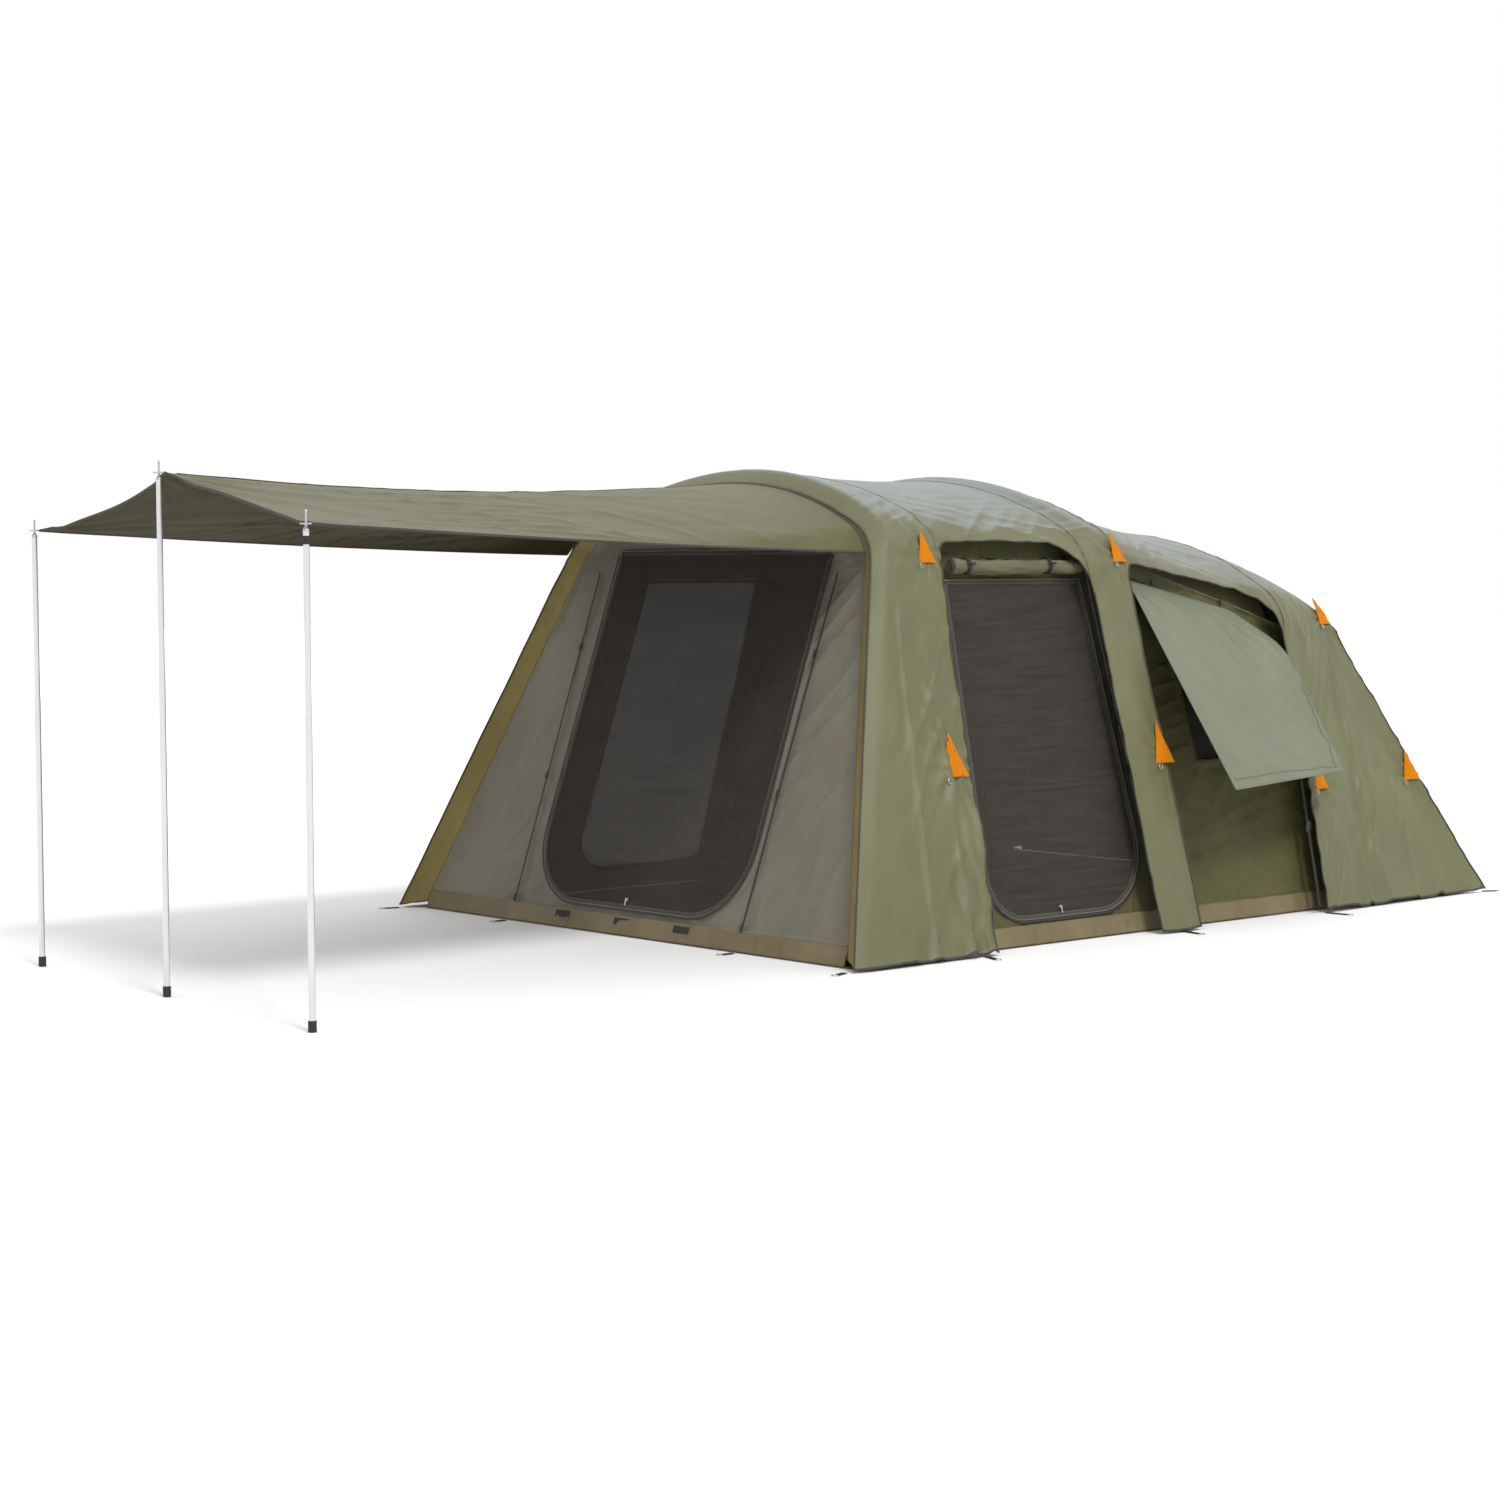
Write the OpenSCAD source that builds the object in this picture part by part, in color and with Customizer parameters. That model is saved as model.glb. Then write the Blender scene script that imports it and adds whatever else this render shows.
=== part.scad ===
// Inflatable three-arch family tent with a pole-held front awning.
// Millimetres, +Z up, +Y from the awning towards the rear wall, +X to the right-hand doorway.
// The origin is on the ground at the middle of the cabin floor.

/* [Cabin] */
// Length of the cabin floor, front to rear
floor_l = 4300; // [4200:10:4400]
// Half width of the floor at the side walls
floor_half_w = 1490; // [1480:1:1500]
// Height of the waterproof skirt of the floor
skirt_h = 85; // [60:1:95]
// Thickness of the wall cloth, with its lining
wall_t = 6; // [4:1:8]
// Thickness of the fly cloth, with its lining
fly_t = 5; // [4:1:6]
// Lean of the front wall and front arch from the vertical, in degrees
front_lean = 19.6; // [19:0.1:20.2]
// Lean of the rear wall and rear arch from the vertical, in degrees
rear_lean = 21; // [20:0.5:22]
// Lean of the side walls from the vertical, in degrees
side_lean = 16.7; // [16:0.1:17]

/* [Air beams] */
// Outer radius of an inflated air beam
beam_r = 44; // [38:1:45]
// Wall of the air beam, sleeve and bladder together
beam_wall = 4; // [3:1:5]
// Depth of the middle beam's centreline below the crest of the fly
beam_inset = 62; // [60:1:66]

/* [Awning] */
// Distance of the front edge of the awning from the front of the floor
awning_reach = 2410; // [2300:10:2500]
// Half of the awning's width at its front edge
awning_half_w = 1110; // [1000:10:1200]
// Sideways set of the awning's front edge
awning_set = 270; // [0:10:300]
// Height of the two corner eyelets
corner_h = 1788; // [1700:1:1850]
// Height of the middle eyelet
ridge_h = 1994; // [1950:1:2050]
// Thickness of the awning sheet, with its hem
awning_t = 6; // [4:1:8]

/* [Poles] */
// Radius of the lower tube
lower_r = 12.5; // [12:0.1:14]
// Radius of the upper tube
upper_r = 11; // [10:0.1:11.5]
// Wall of both tubes
tube_wall = 1.2; // [1:0.1:1.3]
// Height of the telescopic joint above the ground, as a share of the eyelet's height
joint_share = 0.62; // [0.58:0.01:0.66]
// Length of the upper tube that stays inside the lower tube
tube_overlap = 200; // [150:10:250]
// Radius of the spike at the top of a pole
spike_r = 4; // [3.5:0.1:4.5]

/* [Doors] */
// Height of the bottom of the doorways
door_bottom = 112; // [100:1:120]
// Height of the top of the side doorways
side_door_top = 1565; // [1500:5:1580]
// Height of the top of the front doorway
front_door_top = 1700; // [1650:5:1720]
// Thickness of a mesh door, with its zip edge
door_t = 5; // [4:1:6]
// Gap around a mesh door
door_gap = 4; // [3:1:6]

/* [Hidden] */

olive = [0.38, 0.41, 0.25];
khaki = [0.47, 0.46, 0.37];
mud = [0.42, 0.38, 0.26];
netting = [0.16, 0.15, 0.14];
metal = [0.78, 0.79, 0.80];
black = [0.08, 0.08, 0.08];
orange = [0.90, 0.55, 0.12];

LEG = 5;        // points along a straight leg
BEND = 5;       // points round a shoulder
CROWN = 6;      // points from the shoulder to the crown
SEAM = 2;       // gap between two sewn panels
HEM_Z = 12;     // height of the fly's hem above the ground

// ---------- arches ----------
// An arch is [b, h, lean, r, R]: half base, height, lean of its straight leg, shoulder radius
// and crown radius. The leg, the shoulder and the crown are tangent to each other.
function leg_end(a) =
    let (d = [-sin(a[2]), cos(a[2])],
         p = [a[0], 0] - a[3] * [cos(a[2]), sin(a[2])],
         q = p - [0, a[1] - a[4]],
         m = q * d,
         s = -m + sqrt(m * m - q * q + (a[4] - a[3]) * (a[4] - a[3])))
    [s, p + s * d];

function arch_half(a) =
    let (e = leg_end(a), s = e[0], c = e[1], low = a[1] - a[4],
         turn = atan2(c[1] - low, c[0]))
    concat(
        [for (i = [0:LEG - 1]) [a[0], 0] + s * i / LEG * [-sin(a[2]), cos(a[2])]],
        [for (i = [0:BEND - 1]) let (t = a[2] + (turn - a[2]) * i / BEND) c + a[3] * [cos(t), sin(t)]],
        [for (i = [0:CROWN]) let (t = turn + (90 - turn) * i / CROWN) [0, low] + a[4] * [cos(t), sin(t)]]);

function inset(a, d) = [a[0] - d / cos(a[2]), a[1] - d, a[2], a[3] - d, a[4] - d];

function both_sides(half) =
    concat(half, [for (i = [len(half) - 2:-1:0]) [-half[i][0], half[i][1], half[i][2]]]);

// A station is an arch drawn in space: [arch, tilt, y at the foot, y at the shoulder, y at the crown].
function station(s) =
    let (h = arch_half(s[0]), k = cos(s[1]), top = k * s[0][1], mid = 0.75 * top)
    [for (p = h) let (z = max(HEM_Z, k * p[1]))
        [p[0], z < mid ? s[2] + (s[3] - s[2]) * z / mid
            : s[3] + (s[4] - s[3]) * (z - mid) / (top - mid), z]];
function leaning(a, y, lean) =
    [a, lean, y, y + 0.75 * a[1] * sin(lean), y + a[1] * sin(lean)];

front_crest = [1605, 2200, 16.2, 330, 2060];
middle_crest = [1625, 2060, 16.5, 340, 2120];
rear_crest = [1560, 1848, 20, 300, 1750];
FRONT_Y = 22;
MIDDLE_Y = 1945;
REAR_Y = 4150;

edge_front = station(leaning([1589, 2137, 17, 303, 2036], -53, 20.3));
crest_front = station(leaning(front_crest, FRONT_Y, front_lean));
seam_front = station([[1600, 2045, 17.6, 330, 2100], 0, 770, 930, 985]);
seam_middle_a = station([[1600, 2032, 16.5, 330, 2100], 0, 1815, 1862, 1850]);
crest_middle = station([middle_crest, 0, MIDDLE_Y, MIDDLE_Y, MIDDLE_Y]);
seam_middle_b = station([[1600, 2026, 16.5, 330, 2100], 0, 2075, 2110, 2080]);
seam_rear = station([[1600, 1790, 17.8, 330, 2050], 0, 2990, 3215, 3260]);
crest_rear = station(leaning(rear_crest, REAR_Y, -rear_lean));
edge_rear = station(leaning([1590, 1790, 21.5, 270, 1700], 4270, -21.5));

function mix(a, b, t) = [for (i = [0:len(a) - 1]) a[i] + (b[i] - a[i]) * t];
function shift_y(a, d) = [for (p = a) p + [0, d, 0]];

// ---------- shells ----------
// A shell is a closed sheet: a grid of outer points and the same grid moved inwards by the thickness.
function unit(v) = v / norm(v);
function normal_at(g, c, r) =
    let (nc = len(g) - 1, nr = len(g[0]) - 1,
         u = g[min(c + 1, nc)][r] - g[max(c - 1, 0)][r],
         w = g[c][min(r + 1, nr)] - g[c][max(r - 1, 0)])
    unit(cross(w, u));

module shell(g, t) {
    nc = len(g);
    nr = len(g[0]);
    n = nc * nr;
    outer = [for (c = [0:nc - 1], r = [0:nr - 1]) g[c][r]];
    inner = [for (c = [0:nc - 1], r = [0:nr - 1]) g[c][r] - t * normal_at(g, c, r)];
    function id(c, r) = c * nr + r;
    rim = concat([for (c = [0:nc - 1]) id(c, 0)], [for (r = [1:nr - 1]) id(nc - 1, r)],
        [for (c = [nc - 2:-1:0]) id(c, nr - 1)], [for (r = [nr - 2:-1:1]) id(0, r)]);
    m = len(rim);
    polyhedron(concat(outer, inner), concat(
        [for (c = [0:nc - 2], r = [0:nr - 2]) [id(c, r), id(c + 1, r), id(c + 1, r + 1)]],
        [for (c = [0:nc - 2], r = [0:nr - 2]) [id(c, r), id(c + 1, r + 1), id(c, r + 1)]],
        [for (c = [0:nc - 2], r = [0:nr - 2]) [n + id(c, r), n + id(c + 1, r + 1), n + id(c + 1, r)]],
        [for (c = [0:nc - 2], r = [0:nr - 2]) [n + id(c, r), n + id(c, r + 1), n + id(c + 1, r + 1)]],
        [for (i = [0:m - 1]) [rim[i], n + rim[i], n + rim[(i + 1) % m]]],
        [for (i = [0:m - 1]) [rim[i], n + rim[(i + 1) % m], rim[(i + 1) % m]]]));
}

module from_front() { translate([0, -floor_l / 2, 0]) children(); }
module left() { mirror([1, 0, 0]) children(); }

// ---------- fly ----------
module fly_front() {
    color(olive) from_front() shell([for (s = [edge_front, mix(edge_front, crest_front, 0.6), crest_front,
        mix(crest_front, seam_front, 0.4), seam_front]) both_sides(s)], fly_t);
}
module fly_middle() {
    color(olive) from_front() shell([for (s = [seam_middle_a, mix(seam_middle_a, crest_middle, 0.6),
        crest_middle, mix(crest_middle, seam_middle_b, 0.4), seam_middle_b]) both_sides(s)], fly_t);
}
module fly_rear() {
    color(olive) from_front() shell([for (s = [seam_rear, mix(seam_rear, crest_rear, 0.6), crest_rear,
        mix(crest_rear, edge_rear, 0.5), edge_rear]) both_sides(s)], fly_t);
}

// The roof between two arches stops at the top edge of the openings below it.
function point_at(p, f) = let (i = min(floor(f), len(p) - 2)) p[i] + (f - i) * (p[i + 1] - p[i]);
function index_at(p, z, i = 0) =
    p[i + 1][2] >= z ? i + (z - p[i][2]) / (p[i + 1][2] - p[i][2]) : index_at(p, z, i + 1);
ROOF_ROWS = 12;
function roof_column(p, z) =
    let (f = index_at(p, z))
    both_sides([for (i = [0:ROOF_ROWS]) point_at(p, f + (len(p) - 1 - f) * i / ROOF_ROWS)]);
// Height of a rounded opening's top edge at share v of its width w
function opening_top(v, w, z0, z1, ra, rb) =
    let (x = v * w, z = z0 + (z1 - z0) * v)
    x < ra ? z - ra + sqrt(max(0, ra * ra - (ra - x) * (ra - x)))
    : x > w - rb ? z - rb + sqrt(max(0, rb * rb - (x - w + rb) * (x - w + rb))) : z;
ROOF_V = [0, 0.025, 0.08, 0.2, 0.45, 0.7, 0.82, 0.92, 0.975, 1];
module roof(a, b, sag, w, z0, z1, ra, rb) {
    shell([for (v = ROOF_V) let (p = mix(shift_y(a, SEAM), shift_y(b, -SEAM), v), s = sag * 4 * v * (1 - v))
        roof_column([for (q = p) q - [0, 0, s * q[2] / 2000]], opening_top(v, w, z0, z1, ra, rb))], fly_t);
}
module roof_front() {
    color(olive) from_front() roof(seam_front, seam_middle_a, 12, 930, 1735, 1735, 90, 240);
}
module roof_rear() {
    color(olive) from_front() roof(seam_middle_b, seam_rear, 45, 1110, 1650, 1470, 90, 300);
}

// ---------- air beams ----------
// A beam's chambers, each a closed length of tube: two legs, two shoulders and the crown
BEAM_FOOT = 118;    // distance of the beam's closed foot up the leg, above the skirt of the floor
FRONT_INSET = beam_inset + 8;   // the front and rear beams lie deeper, under the rounded edges of the fly
REAR_INSET = beam_inset + 14;
FRONT_SET = 40;         // of the front beam behind the crest, where the fly's front edge falls away
CHAMBER_GAP = 0.4;
module tube_section() {
    difference() {
        circle(beam_r, $fn = 96);
        circle(beam_r - beam_wall, $fn = 96);
    }
}
module bend(r, from, to) {
    gap = CHAMBER_GAP / r * 180 / PI;
    rotate([90, 0, 0]) rotate([0, 0, from + gap]) rotate_extrude(angle = to - from - 2 * gap, $fn = 360)
        translate([r, 0]) tube_section();
}
module beam_tube(a) {
    e = leg_end(a);
    c = e[1];
    low = a[1] - a[4];
    turn = atan2(c[1] - low, c[0]);
    for (m = [0, 1]) mirror([m, 0, 0]) {
        translate([a[0], 0, 0]) rotate([0, -a[2], 0]) translate([0, 0, BEAM_FOOT]) difference() {
            cylinder(h = e[0] - BEAM_FOOT, r = beam_r);
            translate([0, 0, beam_wall]) cylinder(h = e[0], r = beam_r - beam_wall);
        }
        translate([c[0], 0, c[1]]) bend(a[3], a[2], turn);
    }
    translate([0, 0, low]) bend(a[4], turn, 180 - turn);
}
// Places an arch's plane: foot at y, leaning by lean degrees towards +Y
module arch_plane(y, lean) { from_front() translate([0, y, 0]) rotate([-lean, 0, 0]) children(); }
module beam_front() {
    color(black) arch_plane(FRONT_Y + FRONT_SET, front_lean) beam_tube(inset(front_crest, FRONT_INSET));
}
module beam_middle() { color(black) arch_plane(MIDDLE_Y, 0) beam_tube(inset(middle_crest, beam_inset)); }
module beam_rear() { color(black) arch_plane(REAR_Y, -rear_lean) beam_tube(inset(rear_crest, REAR_INSET)); }

// ---------- valves ----------
VALVE_AT = 330;     // distance of a valve up the beam's leg
NECK_R = 9;
NECK_H = 9;
FLANGE_H = 8;
CAP_PLAY = 0.06;
// Puts a valve's axis, +Z, on the right leg of beam b; side is 1 for the face towards +Y, -1 for -Y
module at_valve(b, side) {
    translate([b[0], 0, 0]) rotate([0, -b[2], 0]) translate([0, 0, VALVE_AT])
        rotate([-90 * side, 0, 0]) children();
}
module valve_body(b, side) {
    at_valve(b, side) difference() {
        union() {
            translate([0, 0, beam_r - 6]) cylinder(h = FLANGE_H + 6, r = 20);
            translate([0, 0, beam_r + FLANGE_H]) cylinder(h = NECK_H, r = NECK_R);
        }
        translate([0, 0, beam_r - 10]) cylinder(h = 40, r = 5);
        rotate([90, 0, 0]) cylinder(h = 60, r = beam_r + 0.1, center = true);
    }
}
module valve_cap(b, side) {
    at_valve(b, side) translate([0, 0, beam_r + FLANGE_H + 0.5]) difference() {
        cylinder(h = NECK_H + 4, r = 14);
        translate([0, 0, -1]) cylinder(h = NECK_H + 1.5, r = NECK_R + CAP_PLAY);
        for (i = [0:11]) rotate([0, 0, 30 * i]) translate([14.4, 0, -1]) cylinder(h = 30, r = 1.6);
    }
}
module valve_bodies() {
    color(black) {
        arch_plane(FRONT_Y + FRONT_SET, front_lean) valve_body(inset(front_crest, FRONT_INSET), 1);
        arch_plane(MIDDLE_Y, 0) valve_body(inset(middle_crest, beam_inset), 1);
        arch_plane(REAR_Y, -rear_lean) valve_body(inset(rear_crest, REAR_INSET), -1);
    }
}
module valve_cap_front() {
    color(black) arch_plane(FRONT_Y + FRONT_SET, front_lean) valve_cap(inset(front_crest, FRONT_INSET), 1);
}
module valve_cap_middle() {
    color(black) arch_plane(MIDDLE_Y, 0) valve_cap(inset(middle_crest, beam_inset), 1);
}
module valve_cap_rear() {
    color(black) arch_plane(REAR_Y, -rear_lean) valve_cap(inset(rear_crest, REAR_INSET), -1);
}

// ---------- inner walls ----------
WALL_Y = 15;            // foot of the front wall's outer face
REAR_WALL_Y = 4165;     // foot of the rear wall's outer face
WALL_INSET = 124;       // depth of the end walls' edge below the crest of the fly
WALL_FOOT = skirt_h + 3;
// Local frames of the walls: x along the wall, y up its slope, z outwards
module front_plane() { from_front() translate([0, WALL_Y, 0]) rotate([90 - front_lean, 0, 0]) children(); }
module rear_plane() {
    from_front() translate([0, REAR_WALL_Y, 0]) rotate([0, 0, 180])
        rotate([90 - rear_lean, 0, 0]) children();
}
module side_plane() {
    from_front() translate([floor_half_w, 0, 0]) rotate([0, -side_lean, 0]) rotate([90, 0, 90]) children();
}
// Cloth of thickness t whose outer face lies at height z above the wall's plane
module cloth(t, z = 0) { translate([0, 0, z - t]) linear_extrude(t) children(); }

function arc(c, r, a0, a1, n = 8) =
    [for (i = [0:n]) let (t = a0 + (a1 - a0) * i / n) c + r * [cos(t), sin(t)]];
function upslope(z, lean) = z / cos(lean);
// A door is [left, right, left at the bottom, right at the bottom, bottom, top, left radius, right radius];
// grow widens it all round.
function door_shape(d, grow = 0) = concat(
    [[d[0] - grow, d[5] + grow]],
    arc([d[2] + d[6], d[4] + d[6]], d[6] + grow, 180, 270),
    arc([d[3] - d[7], d[4] + d[7]], d[7] + grow, 270, 360),
    [[d[1] + grow, d[5] + grow]]);
front_door = [-700, 750, -695, 748,
    upslope(door_bottom + 8, front_lean), upslope(front_door_top, front_lean), 330, 330];
side_door = [1030, 1900, 905, 1905,
    upslope(door_bottom, side_lean), upslope(side_door_top, side_lean), 190, 330];
window = [[2440, 760], [3090, 760], [3060, 1270], [2960, 1370], [2480, 1475], [2440, 1440]];

module end_wall(a, lean) {
    e = [for (p = both_sides([for (q = arch_half(inset(a, WALL_INSET))) [q[0], 0, q[1]]])) [p[0], p[2]]];
    intersection() {
        polygon(e);
        translate([-2000, upslope(WALL_FOOT, lean)]) square([4000, 3000]);
    }
}
module front_wall() {
    color(khaki) front_plane() cloth(wall_t) difference() {
        end_wall(front_crest, front_lean);
        polygon(door_shape(front_door, door_gap));
    }
}
rear_opening = [-560, 560, -560, 560, 230, 1250, 260, 260];
module rear_wall() {
    color(khaki) rear_plane() cloth(wall_t) end_wall(rear_crest, rear_lean);
}
module rear_cover() {
    color(khaki) rear_plane() cloth(3, 4) polygon(door_shape(rear_opening));
}
WALL_SPLIT = 1957;      // where the doorway's wall meets the window's wall
function front_edge_y(z) = WALL_Y + z * tan(front_lean) + wall_t / cos(front_lean) + 5;
// The side walls start behind the front beam
function behind_beam_y(z) = FRONT_Y + FRONT_SET + z * tan(front_lean) + (beam_r + 6) / cos(front_lean);
// Corners given as [place along the tent, height above the ground]
function on_side_wall(corners) = [for (p = corners) [p[0], upslope(p[1], side_lean)]];
module door_wall() {
    side_plane() cloth(wall_t) difference() {
        polygon(on_side_wall([[behind_beam_y(WALL_FOOT), WALL_FOOT], [WALL_SPLIT - 2, WALL_FOOT],
            [WALL_SPLIT - 2, 1650], [1880, 1660], [1840, 1745], [behind_beam_y(1745), 1745]]));
        polygon(door_shape(side_door, door_gap));
    }
}
module window_wall() {
    side_plane() cloth(wall_t) difference() {
        polygon(on_side_wall([[WALL_SPLIT + 2, WALL_FOOT], [3900, WALL_FOOT], [3380, 1150],
            [3290, 1330], [2080, 1690], [WALL_SPLIT + 2, 1650]]));
        polygon(window);
    }
}
module door_wall_right() { color(khaki) door_wall(); }
module door_wall_left() { color(khaki) left() door_wall(); }
module window_wall_right() { color(khaki) window_wall(); }
module window_wall_left() { color(khaki) left() window_wall(); }

module window_mesh() { side_plane() cloth(2, -wall_t - 1) offset_window(12); }
module offset_window(d) {
    c = [for (i = [0:1]) (window[0][i] + window[3][i]) / 2];
    translate(c) scale(1 + d / 320) translate(-c) polygon(window);
}
module window_mesh_right() { color(netting) window_mesh(); }
module window_mesh_left() { color(netting) left() window_mesh(); }

// ---------- floor ----------
FLOOR_T = 6;
module floor_sheet() {
    color(mud) translate([-floor_half_w + 12, -floor_l / 2 + 24, 0])
        cube([2 * floor_half_w - 24, REAR_WALL_Y - 36, FLOOR_T]);
}
module skirt_strip(a, b, lean) {
    cloth(wall_t) polygon([[a, upslope(FLOOR_T, lean)], [b, upslope(FLOOR_T, lean)],
        [b, upslope(skirt_h, lean)], [a, upslope(skirt_h, lean)]]);
}
module floor_skirt() {
    w = floor_half_w - skirt_h * tan(side_lean) - wall_t - 1;
    color(mud) {
        front_plane() skirt_strip(-w, w, front_lean);
        rear_plane() skirt_strip(-w, w, rear_lean);
        for (m = [0, 1]) mirror([m, 0, 0]) side_plane()
            skirt_strip(front_edge_y(skirt_h) - 4, REAR_WALL_Y - front_edge_y(skirt_h) + 10, side_lean);
    }
}

// ---------- doors ----------
// The door hangs in the middle of the wall's thickness.
DOOR_Z = -(wall_t - door_t) / 2;
module mesh_door(d) { cloth(door_t, DOOR_Z) polygon(door_shape(d)); }
module mesh_door_front() { color(netting) front_plane() mesh_door(front_door); }
module mesh_door_right() { color(netting) side_plane() mesh_door(side_door); }
module mesh_door_left() { color(netting) left() side_plane() mesh_door(side_door); }

ZIP_W = 9;      // width of a zip's coil and tape that shows
ZIP_T = 2.5;    // how far it stands off the wall
ZIP_OFF = 3;    // from the edge of the opening
module zip_ring(d) {
    cloth(ZIP_T, ZIP_T + 0.3) difference() {
        polygon(door_shape(d, door_gap + ZIP_OFF + ZIP_W));
        polygon(door_shape(d, door_gap + ZIP_OFF));
        translate([d[0] - 100, d[5] - 20]) square([d[1] - d[0] + 200, 100]);
    }
}
module zip_line(a, b) {
    cloth(ZIP_T, ZIP_T + 0.3) translate(a) rotate(atan2(b[1] - a[1], b[0] - a[0]))
        translate([0, -ZIP_W / 2]) square([norm(b - a), ZIP_W]);
}
OUTER_ZIP_X = 795;
module front_zip() {
    color(black) front_plane() {
        zip_ring(front_door);
        for (m = [-1, 1]) zip_line([m * OUTER_ZIP_X, 92], [m * (OUTER_ZIP_X + 25), 1700]);
    }
}
module side_zip() {
    side_plane() {
        zip_ring(side_door);
        zip_line([1938, 92], [1940, 1690]);
    }
}
module side_zip_right() { color(black) side_zip(); }
module side_zip_left() { color(black) left() side_zip(); }

SLIDER_UP = 36;         // height of a slider above the bottom edge of its door
// A zip slider on the straight bottom run of a door: body, wedge and pull tab
module zip_slider(x, y) {
    translate([x, y, DOOR_Z + 0.2]) {
        translate([-9, -4, 0]) cube([18, 12, 5]);
        translate([-3, -1, 5]) cube([6, 6, 4]);
        translate([-3, -26, 6]) cube([6, 25, 2]);
    }
}
module zip_slider_front() { color(metal) front_plane() zip_slider(0, front_door[4] + SLIDER_UP); }
module zip_slider_side() { zip_slider(1320, side_door[4] + SLIDER_UP); }
module zip_slider_right() { color(metal) side_plane() zip_slider_side(); }
module zip_slider_left() { color(metal) left() side_plane() zip_slider_side(); }

// ---------- rolled-up storm doors ----------
ROLL_R = 33;
ROLL_OUT = ROLL_R + 4;      // of the roll's axis from the wall
front_roll = [-720, 720, upslope(1775, front_lean)];
side_roll = [1050, 1885, upslope(1618, side_lean)];
module roll(r) {
    translate([r[0], r[2], ROLL_OUT]) rotate([0, 90, 0]) cylinder(h = r[1] - r[0], r = ROLL_R);
}
module rolled_door_front() { color(khaki) front_plane() roll(front_roll); }
module rolled_door_right() { color(khaki) side_plane() roll(side_roll); }
module rolled_door_left() { color(khaki) left() side_plane() roll(side_roll); }
module roll_tie(r, share) {
    x = r[0] + (r[1] - r[0]) * share;
    translate([x, r[2], ROLL_OUT]) rotate([0, 90, 0]) difference() {
        cylinder(h = 18, r = ROLL_R + 3);
        translate([0, 0, -1]) cylinder(h = 20, r = ROLL_R + 0.5);
    }
    translate([x - 16, r[2], ROLL_OUT + ROLL_R + 8]) rotate([0, 90, 0]) cylinder(h = 50, r = 4);
}
module roll_ties() {
    color(black) {
        for (share = [0.12, 0.5, 0.87]) front_plane() roll_tie(front_roll, share);
        for (m = [0, 1], share = [0.1, 0.72]) mirror([m, 0, 0]) side_plane() roll_tie(side_roll, share);
    }
}

// ---------- small trim on the walls ----------
module tab_box(x, y, w, h) { translate([x - w / 2, y - h / 2, ZIP_T + 1]) cube([w, h, 6]); }
module zip_toggles() {
    color(black) {
        front_plane() for (m = [-1, 1], y = [110, 700, 1330])
            tab_box(m * (OUTER_ZIP_X + y / 68), y, 16, 34);
        for (m = [0, 1]) mirror([m, 0, 0]) side_plane() {
            for (y = [110, 740]) tab_box(1938, y, 16, 34);
            tab_box(2400, upslope(1545, side_lean), 20, 20);
            tab_box(2860, upslope(1450, side_lean), 20, 20);
        }
    }
}
module hook_patches() {
    color(black) for (x = [-420, 0, 410]) front_plane() translate([x - 50, 50, 0.3]) cube([100, 30, 3]);
}

// ---------- window flap ----------
FLAP_T = 5;
FLAP_OUT = 21;          // how far the flap is propped open, in degrees from the wall
flap_pivot = [2378, 1589];
flap_turn = -12.8;      // slope of the flap's top edge
HEM_R = 3;              // cord in the hem along the flap's hinge line
flap_shape = [[-160, -1], [540, -1], [690, -70], [800, -120], [850, -185], [865, -260],
    [900, -868], [5, -1160]];
module flap_plane() {
    side_plane() translate([flap_pivot[0], flap_pivot[1], 6 + FLAP_T / 2]) rotate([0, 0, flap_turn])
        rotate([-FLAP_OUT, 0, 0]) children();
}
module window_flap() {
    flap_plane() cloth(FLAP_T, FLAP_T / 2) polygon(flap_shape);
    flap_plane() rotate([0, 90, 0]) cylinder(h = flap_shape[1][0], r = HEM_R);
}
module window_flap_right() { color(olive) window_flap(); }
module window_flap_left() { color(olive) left() window_flap(); }

// ---------- guy-out tabs, rings and peg straps ----------
function on_station(s, z) = point_at(s, index_at(s, z));
// Puts +Z along the fly's outward normal on its right side, at height z and share t of the way
// from station a to station b; +X runs rearwards and +Y up the cloth.
module on_fly(a, b, t, z) {
    e = 0.02;
    p = on_station(mix(a, b, t), z);
    u = unit(on_station(mix(a, b, t + e), z) - on_station(mix(a, b, t - e), z));
    n = unit(cross(u, on_station(mix(a, b, t), z + 20) - on_station(mix(a, b, t), z - 20)));
    w = cross(n, u);
    multmatrix([for (i = [0:2]) [u[i], w[i], n[i], p[i]]]) children();
}
TAB_T = 4;
TAB_H = 200;
TAB_W = 150;
TAB_LIFT = 12;          // of a tab off the fly, over the corner of its sewn base
RING_R = 12;
RING_WIRE = 2;
module tab() {
    translate([0, 0, TAB_LIFT]) linear_extrude(TAB_T)
        polygon([[-TAB_W / 2, 0], [TAB_W / 2, 0], [0, TAB_H]]);
}
module ring() {
    translate([-TAB_W / 2 + 14, -RING_R - 4, TAB_LIFT + TAB_T / 2])
        rotate_extrude() translate([RING_R, 0]) circle(RING_WIRE);
}
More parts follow.
